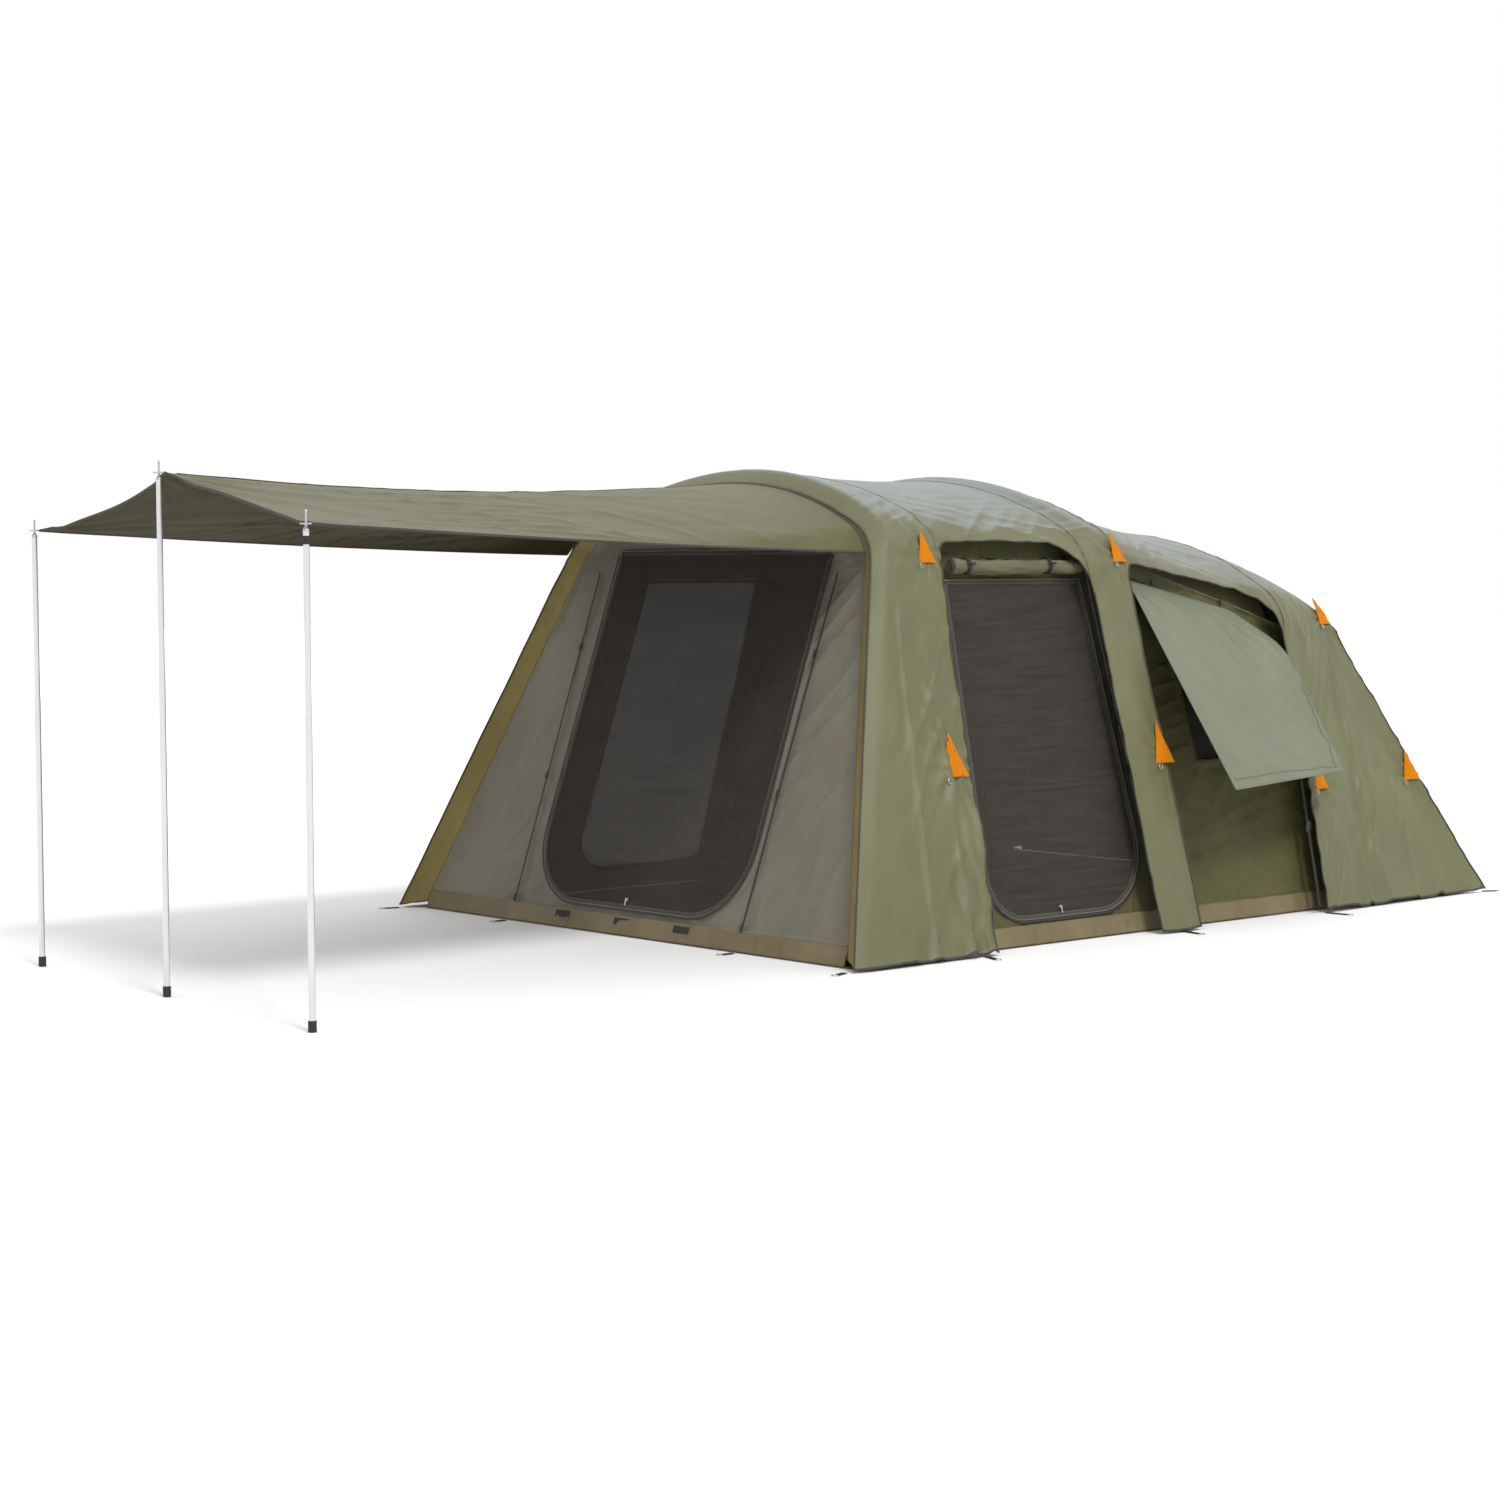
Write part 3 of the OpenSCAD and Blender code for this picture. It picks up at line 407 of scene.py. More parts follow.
def cloth(name, grid, thick, finish, uv=None, wrap=False, lining=None):
    """A closed sheet: the grid, the same grid moved inwards by thick along its normals, and a rim."""
    n = grid.shape[0] * grid.shape[1]
    ids = np.arange(n).reshape(grid.shape[:2])
    inner = grid - thick * grid_normals(grid, wrap)
    uv = grid_metres(grid) if uv is None else uv
    faces = [quads(ids, wrap), quads(ids, wrap)[:, ::-1] + n]
    if wrap:
        loops = [np.append(ids[0], ids[0, 0])[::-1], np.append(ids[-1], ids[-1, 0])]
    else:
        loops = [np.concatenate([ids[:, 0], ids[-1, 1:], ids[-2::-1, -1], ids[0, -2::-1]])]
    for loop in loops:
        a, b = loop[:-1], loop[1:]
        faces.append(np.stack([a, a + n, b + n, b], axis=1))
    flat = uv.reshape(-1, 2)
    return put_mesh(name, np.concatenate([grid.reshape(-1, 3), inner.reshape(-1, 3)]), faces, finish,
                    np.concatenate([flat, flat]), lining)


def path_frames(path, up):
    """Along, side and up at each point of a path; up is turned square to the path."""
    along = np.gradient(path, axis=0)
    along /= np.linalg.norm(along, axis=1, keepdims=True)
    side = np.cross(along, np.broadcast_to(up, path.shape))
    side /= np.linalg.norm(side, axis=1, keepdims=True)
    return along, side, np.cross(side, along)


def sweep_grid(path, up, profile, size=1.0):
    """Profile (x to the side, y up) carried along the path, its size multiplied by size at each point."""
    _, side, top = path_frames(path, up)
    scale = np.broadcast_to(np.asarray(size, float), (len(path),))[:, None, None]
    across = profile[None, :, :1] * side[:, None] + profile[None, :, 1:] * top[:, None]
    return path[:, None] + scale * across


def capped_tube(name, grid, finish):
    """A tube from a grid of rings, with a fan of triangles to a middle point at each end."""
    n, m = grid.shape[:2]
    ids = np.arange(n * m).reshape(n, m)
    ends = np.stack([grid[0].mean(0), grid[-1].mean(0)])
    ring = np.roll(ids, -1, 1)
    first = np.stack([np.full(m, n * m), ids[0], ring[0]], axis=1)
    last = np.stack([np.full(m, n * m + 1), ring[-1], ids[-1]], axis=1)
    u = np.concatenate([[0], np.cumsum(np.linalg.norm(np.diff(grid.mean(1), axis=0), axis=1))])
    round_length = np.linalg.norm(np.diff(grid, axis=1), axis=2).sum(1).mean()
    v = np.linspace(0, 1, m, endpoint=False) * round_length
    uv = np.stack(np.meshgrid(u, v, indexing="ij"), axis=2).reshape(-1, 2)
    uv = np.concatenate([uv, [[u[0], 0], [u[-1], 0]]])
    return put_mesh(name, np.concatenate([grid.reshape(-1, 3), ends]), [quads(ids, True), first, last],
                    finish, uv)


def round_profile(radius, sides=8):
    """Points round a circle, turning so that the swept faces look outwards."""
    turn = np.linspace(0, 2 * np.pi, sides, endpoint=False)
    return radius * np.stack([np.cos(turn), -np.sin(turn)], axis=1)


def flat_profile(width, thick):
    """A flat tape: a rectangle with softened corners, width across and thick high."""
    w, t = width / 2, thick / 2
    k = min(w, t) * 0.5
    return np.array([[-w, -t + k], [-w, t - k], [-w + k, t], [w - k, t], [w, t - k], [w, -t + k],
                     [w - k, -t], [-w + k, -t]])


def tube(name, path, up, radius, finish):
    return capped_tube(name, sweep_grid(path, up, round_profile(radius)), finish)


def tape(name, path, up, width, thick, finish):
    return capped_tube(name, sweep_grid(path, up, flat_profile(width, thick)), finish)


MIRROR = np.array([-1, 1, 1])


def mirrored(grid):
    """A grid on the other side of the tent, its columns turned round so that it still faces outwards."""
    return (grid * MIRROR)[:, ::-1]


def hand_over(piece, body="tent", node=None):
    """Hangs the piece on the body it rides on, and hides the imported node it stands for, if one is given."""
    if node:
        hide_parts(node)
    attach(piece, body)


def joined(name, pieces):
    """Several meshes of one finish as one piece."""
    bpy.ops.object.select_all(action="DESELECT")
    for piece in pieces:
        piece.select_set(True)
    bpy.context.view_layer.objects.active = pieces[0]
    bpy.ops.object.join()
    pieces[0].name = name
    return pieces[0]


def resample(path, count):
    """The same path with points evenly spaced along it."""
    length = np.concatenate([[0], np.cumsum(np.linalg.norm(np.diff(path, axis=0), axis=1))])
    at = np.linspace(0, length[-1], count)
    return np.stack([np.interp(at, length, path[:, k]) for k in range(path.shape[1])], axis=1)


def smoothed(path, times):
    """Corners rounded off: each pass replaces a point by the mean of itself and its neighbours."""
    for _ in range(times):
        path = np.concatenate([path[:1], (path[:-2] + 2 * path[1:-1] + path[2:]) / 4, path[-1:]])
    return path

# %% [markdown]
# Folds in cloth come from smooth noise stretched in one direction: long along the pull, short across
# it. A ridge, which is one minus the distance from the middle value, turns the soft hills of the noise
# into creases like those of a shaken sheet.

# %% Noise and creases


def smooth_noise(x, y, seed):
    """Value noise from 0 to 1: random values on a 256 by 256 lattice, blended with 3t^2 - 2t^3."""
    lattice = np.random.default_rng(seed).random((256, 256))
    i, j = np.floor(x).astype(int), np.floor(y).astype(int)
    s, t = x - i, y - j
    s, t = s * s * (3 - 2 * s), t * t * (3 - 2 * t)
    i, j, i1, j1 = i % 256, j % 256, (i + 1) % 256, (j + 1) % 256
    low = lattice[i, j] * (1 - s) + lattice[i1, j] * s
    high = lattice[i, j1] * (1 - s) + lattice[i1, j1] * s
    return low * (1 - t) + high * t


def folds(x, y, turn, long, short, seed, sharp=2.0):
    """Creases from 0 to 1 that run at angle turn (degrees) from x, long metres long, short across."""
    a = math.radians(turn)
    p, q = x * math.cos(a) + y * math.sin(a), y * math.cos(a) - x * math.sin(a)
    bend = 0.35 * smooth_noise(p / long, q / (3 * short), seed + 50)
    ridge = 1 - np.abs(2 * smooth_noise(p / long, q / short + bend, seed) - 1)
    return ridge ** sharp


def rumple(x, y, seed, size):
    """Soft uneven ground from -1 to 1: three octaves of noise, each half the size of the last."""
    total = sum(smooth_noise(x / size * 2 ** k, y / size * 2 ** k, seed + k) / 2 ** k for k in range(3))
    return total / 0.875 - 1


def rise(x, start, end):
    """0 before start, 1 after end, and 3t^2 - 2t^3 between."""
    t = np.clip((x - start) / (end - start), 0, 1)
    return t * t * (3 - 2 * t)

# %% [markdown]
# The fly is one skin over three arches. Each arch is half a leg, a shoulder arc and a wide crown arc,
# all tangent. Nine such lines, from the front edge to the rear edge, carry the whole skin: it is
# straight from one to the next, and a running mean along the tent rounds it over the air beams.

# %% The arches of the fly
HALF_FLOOR = 2.15                           # half the cabin's length; y is 0 in the middle of it
HEM_HEIGHT = 0.012
LEG_STEPS, BEND_STEPS, CROWN_STEPS = 96, 24, 56


def arch_half(base, height, lean, r, big):
    """The right half of an arch from foot to crown: base is half its width, lean its leg's slope in
    degrees, r and big the radii of shoulder and crown. The leg ends where the arcs are tangent."""
    a = math.radians(lean)
    along = np.array([-math.sin(a), math.cos(a)])
    start = np.array([base - r * math.cos(a), -r * math.sin(a)])
    q = start - np.array([0, height - big])
    m = q @ along
    leg = -m + math.sqrt(m * m - q @ q + (big - r) ** 2)
    centre = start + along * leg
    turn = math.atan2(centre[1] - height + big, centre[0])
    s = np.linspace(0, leg, LEG_STEPS, endpoint=False)[:, None]
    bend = np.linspace(a, turn, BEND_STEPS, endpoint=False)
    crown = np.linspace(turn, math.pi / 2, CROWN_STEPS + 1)
    return np.concatenate([
        np.array([base, 0]) + s * along,
        centre + r * np.stack([np.cos(bend), np.sin(bend)], axis=1),
        np.array([0, height - big]) + big * np.stack([np.cos(crown), np.sin(crown)], axis=1)])


def inset_half(arch, inset):
    """The right half of an arch that runs inset metres inside the given one."""
    base, height, lean, r, big = arch
    foot = base - inset / math.cos(math.radians(lean))
    return arch_half(foot, height - inset, lean, r - inset, big - inset)


def whole_arch(half):
    """Right foot to left foot: the half and its mirror image, with the crown's point once."""
    return np.concatenate([half, (half * np.array([-1, 1]))[-2::-1]])


def station(arch, tilt, foot, shoulder, crown):
    """An arch set up in space: its height times cos(tilt), and a lengthwise place that runs straight
    from foot to shoulder, at three quarters of the height, and on to the crown."""
    half = arch_half(*arch)
    z = np.maximum(HEM_HEIGHT, half[:, 1] * math.cos(math.radians(tilt)))
    top = arch[1] * math.cos(math.radians(tilt))
    y = np.interp(z, [0, 0.75 * top, top], [foot, shoulder, crown])
    return np.stack([half[:, 0], y - HALF_FLOOR, z], axis=1)


def leaning(arch, foot, lean):
    s = math.sin(math.radians(lean))
    return station(arch, lean, foot, foot + 0.75 * arch[1] * s, foot + arch[1] * s)


FRONT_CREST = (1.605, 2.2, 16.2, 0.33, 2.06)
MIDDLE_CREST = (1.625, 2.06, 16.5, 0.34, 2.12)
REAR_CREST = (1.56, 1.848, 20, 0.3, 1.75)
FRONT_LEAN, REAR_LEAN, SIDE_LEAN = 19.6, 21.0, 16.7
FRONT_FOOT, MIDDLE_FOOT, REAR_FOOT = 0.022, 1.945, 4.15

lines = [
    leaning((1.589, 2.137, 17, 0.303, 2.036), -0.053, 20.3),
    leaning(FRONT_CREST, FRONT_FOOT, FRONT_LEAN),
    station((1.6, 2.045, 17.6, 0.33, 2.1), 0, 0.77, 0.93, 0.985),
    station((1.6, 2.032, 16.5, 0.33, 2.1), 0, 1.815, 1.862, 1.85),
    station(MIDDLE_CREST, 0, MIDDLE_FOOT, MIDDLE_FOOT, MIDDLE_FOOT),
    station((1.6, 2.026, 16.5, 0.33, 2.1), 0, 2.075, 2.11, 2.08),
    station((1.6, 1.79, 17.8, 0.33, 2.05), 0, 2.99, 3.215, 3.26),
    leaning(REAR_CREST, REAR_FOOT, -REAR_LEAN),
    leaning((1.59, 1.79, 21.5, 0.27, 1.7), 4.27, -21.5),
]
STEPS = [6, 50, 66, 9, 9, 62, 78, 9]        # columns of the grid between each line and the next
MARKS = np.concatenate([[0], np.cumsum(STEPS)])
(EDGE_FRONT, CREST_FRONT, SEAM_FRONT, SEAM_MID_A, CREST_MID, SEAM_MID_B, SEAM_REAR, CREST_REAR,
 EDGE_REAR) = MARKS
ROOF_SAG = {2: 0.012, 5: 0.045}             # how far the two roofs hang between the arches


def skin_of(lines):
    """The right half of the skin: columns along the tent, rows from foot to crown. Between two lines a
    column is their mean by its share of the way, lowered by 4v(1 - v) of the sag there."""
    columns = []
    for k, count in enumerate(STEPS):
        v = (np.arange(count + (k == len(STEPS) - 1)) / count)[:, None, None]
        part = lines[k] * (1 - v) + lines[k + 1] * v
        drop = ROOF_SAG.get(k, 0.0) * 4 * v[..., 0] * (1 - v[..., 0]) * part[..., 2] / 2
        part[..., 2] -= drop
        columns.append(part)
    return np.concatenate(columns)


def rounded(skin, sigma):
    """A bell-weighted running mean along the tent. The skin is first carried straight on past both
    ends, so that the two edges stay where they are."""
    reach = int(3 * sigma)
    front = 2 * skin[:1] - skin[reach:0:-1]
    back = 2 * skin[-1:] - skin[-2:-2 - reach:-1]
    longer = np.concatenate([front, skin, back])
    bell = np.exp(-0.5 * (np.arange(-reach, reach + 1) / sigma) ** 2)
    bell /= bell.sum()
    return sum(w * longer[k:k + len(skin)] for k, w in enumerate(bell))


half_skin = rounded(skin_of(lines), 2.2)
half_skin[..., 2] = np.maximum(half_skin[..., 2], HEM_HEIGHT)
left_half = half_skin[:, -2::-1] * MIRROR
skin = np.concatenate([half_skin, left_half], axis=1)
ROWS = half_skin.shape[1]
print("skin of the fly:", skin.shape[0], "by", skin.shape[1], "points")

# %% [markdown]
# The skin is then given its folds. It is drum-tight over the beams, so the folds fade out there. On the
# legs they hang nearly upright from the shoulder, on the roofs they run slantwise from beam to beam,
# and at every guy tab short creases fan out from the stitching.

# %% Folds of the fly
TABS = [
    (CREST_FRONT + 0.75 * STEPS[1], 1.64, 0.75), (CREST_FRONT + 0.85 * STEPS[1], 0.735, 1.0),
    (CREST_MID + 0.8 * STEPS[4], 1.64, 0.75), (CREST_MID + 0.9 * STEPS[4], 0.735, 1.0),
    (CREST_REAR + 0.45 * STEPS[7], 1.33, 0.75), (SEAM_REAR + 0.12 * STEPS[6], 0.56, 0.8),
    (CREST_REAR + 0.4 * STEPS[7], 0.56, 0.8)]    # column, height and size of each guy tab


def skin_at(column, height):
    """The point of the right half of the skin at a column and a height."""
    c = int(round(column))
    return np.array([np.interp(height, half_skin[c, :, 2], half_skin[c, :, k]) for k in range(3)])


def skin_line(columns, heights):
    """Points of the calm skin's right side, one for each column, where its line reaches the height."""
    lines = half_skin[columns]
    above = (lines[..., 2] < heights[:, None]).sum(axis=1).clip(1, lines.shape[1] - 1)
    k = np.arange(len(above))
    low, high = lines[k, above - 1], lines[k, above]
    share = ((heights - low[:, 2]) / (high[:, 2] - low[:, 2])).clip(0, 1)
    return low + share[:, None] * (high - low)


def half_height(z):
    """Height of each point as a share of the crown of its own line."""
    return z / z.max(axis=1, keepdims=True)


def fold_depth(skin):
    """How far each point of the skin stands out, in metres: a sum of soft bumps and of creases, each with
    its depth, where it is let in, its direction, its length, its width and its seed."""
    arc = np.concatenate([np.zeros((len(skin), 1)),
                          np.cumsum(np.linalg.norm(np.diff(skin, axis=1), axis=2), axis=1)], axis=1)
    y, z, side = skin[..., 1], skin[..., 2], np.sign(skin[..., 0])
    column = np.arange(len(skin))[:, None] * np.ones_like(y)
    loose = rise(np.min([np.abs(column - c) for c in (CREST_FRONT, CREST_MID, CREST_REAR)], axis=0), 2, 16)
    seam_side = rise(column, CREST_FRONT + 12, SEAM_FRONT) * (column <= SEAM_FRONT)
    low, high = rise(1.75 - z, 0, 0.5), rise(z, 1.35, 1.8)
    depth = 0.006 * loose * (1 - 0.6 * high) * rumple(y + 3 * side, arc, 3, 0.4)
    depth += 0.018 * loose * low * (folds(y + side, z, 82, 1.1, 0.10, 11) - 0.3)
    depth += 0.022 * seam_side * low * (folds(y + 5 * side, z, 104, 0.8, 0.06, 19, 3) - 0.25)
    depth += 0.012 * loose * low * (folds(y + 2 * side, z, 55, 0.45, 0.07, 23, 3) - 0.25)
    steep = high * (1 - 0.75 * rise(half_height(z), 0.9, 1.0))
    depth += 0.008 * loose * steep * (folds(y, arc * side, 38, 0.7, 0.085, 29, 3) - 0.25)
    depth += 0.006 * loose * steep * (folds(y, arc * side, -25, 0.6, 0.11, 37, 3) - 0.25)
    depth += 0.004 * steep * (folds(y, arc * side, 8, 0.35, 0.05, 39, 2) - 0.3)
    depth += 0.006 * rise(0.22 - z, 0, 0.2) * rumple(y * 2, np.zeros_like(y), 43, 0.16)
    for column_at, height, size in TABS:
        p = skin_at(column_at, height)
        dy, dz = y - p[1], z - p[2] - 0.03
        far = np.hypot(dy, dz)
        rays = np.sin(9 * np.arctan2(dz, dy) + 5 * far + side)
        depth += 0.009 * size * rays * np.exp(-far / 0.2) * rise(far, 0.0, 0.06)
    return depth


calm_skin = skin
skin = skin + fold_depth(skin)[..., None] * grid_normals(skin)
skin[..., 2] = np.maximum(skin[..., 2], HEM_HEIGHT)
skin_normals = grid_normals(skin)

# %% [markdown]
# Five panels are cut from the skin: the cloth over each arch, down to the ground on both sides, and
# the two roofs, whose lower edges make the tops of the side openings. The openings have one straight
# top edge with two round corners, which blend it into the upright edges of the arch panels.

# %% Panels of the fly
FLY_THICK = 0.004


def opening_top(v, width, z0, z1, ra, rb):
    """Height of an opening's top edge at shares v of its width: a line from z0 to z1, less the drop of
    a circle of radius ra or rb within that distance of either end."""
    x, z = v * width, z0 + (z1 - z0) * v
    left = np.sqrt(np.maximum(0, ra ** 2 - np.maximum(0, ra - x) ** 2)) - ra
    right = np.sqrt(np.maximum(0, rb ** 2 - np.maximum(0, x - width + rb) ** 2)) - rb
    return z + left + right


def rows_above(half, heights, count):
    """Fractional rows from the height given for each column up to the crown, in equal steps."""
    below = (half[:, :, 2] < heights[:, None]).sum(1) - 1
    c = np.arange(len(half))
    low, high = half[c, below, 2], half[c, below + 1, 2]
    start = below + (heights - low) / (high - low)
    return start[:, None] + (ROWS - 1 - start[:, None]) * np.linspace(0, 1, count)[None]


def take_rows(grid, rows):
    """Points of each column at fractional rows, by straight-line blending of the two nearest."""
    i = np.minimum(np.floor(rows).astype(int), grid.shape[1] - 2)
    t = (rows - i)[..., None]
    c = np.arange(len(grid))[:, None]
    return grid[c, i] * (1 - t) + grid[c, i + 1] * t


def roof_panel(first, last, top):
    """The roof between two columns: its rows run from the right opening over the crown to the left."""
    v = np.linspace(0, 1, last - first + 1)
    part = skin[first:last + 1]
    up = rows_above(calm_skin[first:last + 1, :ROWS], opening_top(v, *top), 90)
    rows = np.concatenate([up, 2 * (ROWS - 1) - up[:, -2::-1]], axis=1)
    return take_rows(part, rows), rows


FRONT_TOP = (0.93, 1.735, 1.735, 0.09, 0.24)
REAR_TOP = (1.11, 1.65, 1.47, 0.09, 0.3)
roof_front, rows_front = roof_panel(SEAM_FRONT, SEAM_MID_A, FRONT_TOP)
roof_rear, rows_rear = roof_panel(SEAM_MID_B, SEAM_REAR, REAR_TOP)
PANELS = {
    "fly_front": skin[EDGE_FRONT:SEAM_FRONT + 1], "roof_front": roof_front,
    "fly_middle": skin[SEAM_MID_A:SEAM_MID_B + 1], "roof_rear": roof_rear,
    "fly_rear": skin[SEAM_REAR:EDGE_REAR + 1]}


def cloth_area(grid):
    """Area of a grid: half the length of the cross product of its cells' diagonals, added up."""
    across = np.cross(grid[1:, 1:] - grid[:-1, :-1], grid[1:, :-1] - grid[:-1, 1:])
    return float(np.linalg.norm(across, axis=2).sum() / 2)


for name, grid in PANELS.items():
    panel = cloth(name + "_cloth", grid, FLY_THICK, "fly", lining="fly_lining")
    hand_over(panel, node=name)

# %% [markdown]
# Dark piping is sewn round every edge of the fly: up the front edge, along the ground hems and round
# the side openings. It is a thin tube that follows the edge of the panels, half sunk in the cloth.

# %% Piping and seams of the fly
PIPING = 0.0038


def opening_edge(first, last, rows, side):
    """Up one arch panel's edge, across the roof's lower edge and down the next panel's edge."""
    low_front = int(rows[0, 0])
    low_back = int(rows[-1, 0])
    up = skin[first, :low_front + 1]
    over = take_rows(skin[first:last + 1], rows[:, :1])[:, 0]
    down = skin[last, low_back::-1]
    path = np.concatenate([up, over, down])
    return resample(path, 420) * np.array([side, 1, 1])


def outward(path, side):
    """A direction that leans out from the tent and up, for a path on one side of it."""
    return np.stack([np.full(len(path), 0.92 * side), np.zeros(len(path)), np.full(len(path), 0.38)], axis=1)


edges = [tube("front_edge", skin[0], skin_normals[0], PIPING, "piping"),
         tube("rear_edge", skin[-1], skin_normals[-1], PIPING, "piping")]
for first, last, rows in ((SEAM_FRONT, SEAM_MID_A, rows_front), (SEAM_MID_B, SEAM_REAR, rows_rear)):
    for side in (1, -1):
        path = opening_edge(first, last, rows, side)
        edges.append(tube("opening", path, outward(path, side), PIPING, "piping"))
for first, last in ((EDGE_FRONT, SEAM_FRONT), (SEAM_MID_A, SEAM_MID_B), (SEAM_REAR, EDGE_REAR)):
    for row in (0, -1):
        path = skin[first:last + 1, row]
        edges.append(tube("hem", path, outward(path, 1 if row == 0 else -1), PIPING * 1.3, "piping"))
piping = joined("fly_piping", edges)
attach(piping, "tent")

seams = []
for column, rows in ((SEAM_FRONT, rows_front[0]), (SEAM_MID_A, rows_front[-1]), (SEAM_MID_B, rows_rear[0]),
                     (SEAM_REAR, rows_rear[-1])):
    span = slice(int(rows[0]) + 1, int(rows[-1]))
    seams.append(tape("seam", skin[column, span] + 0.0008 * skin_normals[column, span],
                      skin_normals[column, span], 0.013, 0.0022, "fly"))
seam_tapes = joined("fly_seam_tapes", seams)
hand_over(seam_tapes)
print("piping runs:", len(edges), "and seams:", len(seams))

# %% [markdown]
# A guy tab is a folded triangle of orange cloth, sewn to the fly along its base and a little slack, so
# it bulges. It sits in the frame of the skin at its place: along the tent, up the cloth and outwards.

# %% Guy tabs
TAB_WIDE, TAB_TALL, TAB_LIFT = 0.15, 0.20, 0.0055


def skin_frame(column, height):
    """Place, lengthwise, upslope and outward directions on the calm skin's right side."""
    c = int(round(column))
    here = skin_at(column, height)
    c0, c1 = max(c - 1, 0), min(c + 1, len(half_skin) - 1)
    ends = [np.array([np.interp(height, half_skin[k, :, 2], half_skin[k, :, a]) for a in range(3)])
            for k in (c0, c1)]
    along = ends[1] - ends[0]
    along /= np.linalg.norm(along)
    out = np.cross(along, skin_at(column, height + 0.02) - skin_at(column, height - 0.02))
    out /= np.linalg.norm(out)
    return here, along, np.cross(out, along), out


def guy_tab(column, height, size, side, seed):
    """A triangle as a grid: rows from base to tip, each narrower by its share of the height, and
    crowned by the product of two sine arches."""
    here, along, up, out = skin_frame(column, height)
    v, u = np.meshgrid(np.linspace(0, 0.985, 26), np.linspace(-1, 1, 25), indexing="ij")
    x = size * TAB_WIDE / 2 * u * (1 - v)
    y = size * TAB_TALL * v
    swell = 0.016 * np.cos(u * np.pi / 2) * np.sin(np.pi * np.minimum(1, v * 1.15 + 0.1))
    pucker = 0.0022 * (folds(x * 8, y * 4, 70, 0.5, 0.12, seed) - 0.4)
    z = TAB_LIFT + swell + pucker
    grid = here + x[..., None] * along + y[..., None] * up + z[..., None] * out
    grid = grid[:, ::-1]
    if side < 0:
        grid = mirrored(grid)
    return cloth("tab", grid, 0.0035, "tab")


tabs = [guy_tab(*tab, side, 60 + k) for k, tab in enumerate(TABS) for side in (1, -1)]
guy_tabs = joined("guy_tab_cloth", tabs)
hand_over(guy_tabs, node="guy_tabs")

# %% [markdown]
# The inner walls are flat cloth with openings. Their outlines live in each wall's own plane: x along
# the wall, y up its slope and z outwards. A wall with an opening is a ring of cloth between two
# outlines, ruled along rays from the middle of the opening, so that it has no loose edges.

# %% Walls: planes and outlines
WALL_FOOT = 0.088
WALL_INSET = 0.124
HALF_WIDE = 1.49


def front_plane(p):
    """From the front wall's plane to the tent's frame: the wall leans back by the front lean."""
    s, c = math.sin(math.radians(FRONT_LEAN)), math.cos(math.radians(FRONT_LEAN))
    x, y, z = p[..., 0], p[..., 1], p[..., 2]
    return np.stack([x, 0.015 - HALF_FLOOR + y * s - z * c, y * c + z * s], axis=-1)


def rear_plane(p):
    """From the rear wall's plane to the tent's frame: it leans forwards, and x runs to the left."""
    s, c = math.sin(math.radians(REAR_LEAN)), math.cos(math.radians(REAR_LEAN))
    x, y, z = p[..., 0], p[..., 1], p[..., 2]
    return np.stack([-x, 4.165 - HALF_FLOOR - y * s + z * c, y * c + z * s], axis=-1)


def side_plane(p):
    """From the right wall's plane to the tent's frame: x runs to the rear from the front of the floor."""
    s, c = math.sin(math.radians(SIDE_LEAN)), math.cos(math.radians(SIDE_LEAN))
    x, y, z = p[..., 0], p[..., 1], p[..., 2]
    return np.stack([HALF_WIDE - y * s + z * c, x - HALF_FLOOR, y * c + z * s], axis=-1)


def away_from(plane):
    """The outward direction of a wall's plane, in the tent's frame."""
    return plane(np.array([0, 0, 1.0])) - plane(np.zeros(3))


def upslope(height, lean):
    return height / math.cos(math.radians(lean))


def bow(cx, cy, r, a0, a1, count=14):
    """Points of an arc about (cx, cy) from angle a0 to a1, in degrees."""
    a = np.radians(np.linspace(a0, a1, count))
    return np.stack([cx + r * np.cos(a), cy + r * np.sin(a)], axis=1)


def door_outline(left, right, low_left, low_right, low, top, rl, rr, grow=0.0):
    """A doorway, anticlockwise from its top left corner: straight sides and a round bottom."""
    return np.concatenate([
        [[left - grow, top + grow]],
        bow(low_left + rl, low + rl, rl + grow, 180, 270),
        bow(low_right - rr, low + rr, rr + grow, 270, 360),
        [[right + grow, top + grow]]])


FRONT_DOOR = (-0.7, 0.75, -0.695, 0.748, upslope(0.12, FRONT_LEAN), upslope(1.7, FRONT_LEAN), 0.33, 0.33)
SIDE_DOOR = (1.03, 1.9, 0.905, 1.905, upslope(0.112, SIDE_LEAN), upslope(1.565, SIDE_LEAN), 0.19, 0.33)
WINDOW = np.array([[2.44, 0.76], [3.09, 0.76], [3.06, 1.27], [2.96, 1.37], [2.48, 1.475], [2.44, 1.44]])
DOOR_GAP = 0.004
FRONT_DOOR_EDGE = door_outline(*FRONT_DOOR, grow=DOOR_GAP)
SIDE_DOOR_EDGE = door_outline(*SIDE_DOOR, grow=DOOR_GAP)


def end_wall_outline(crest, lean):
    """The arch moved in by the wall's inset, cut off level at the top of the floor's skirt."""
    half = inset_half(crest, WALL_INSET)[::6]
    foot = upslope(WALL_FOOT, lean)
    half = half[half[:, 1] > foot + 0.03]
    corner = [half[0, 0] + (half[0, 1] - foot) * math.tan(math.radians(crest[2])), foot]
    half = np.concatenate([[corner], half])
    return np.concatenate([half, (half * np.array([-1, 1]))[::-1]])


def side_outline(points):
    """Corners given as place along the tent and height, as points of the side wall's plane."""
    return np.array([[x, upslope(z, SIDE_LEAN)] for x, z in points])


def behind_beam(z):
    return FRONT_FOOT + z * math.tan(math.radians(FRONT_LEAN)) + 0.05 / math.cos(math.radians(FRONT_LEAN))


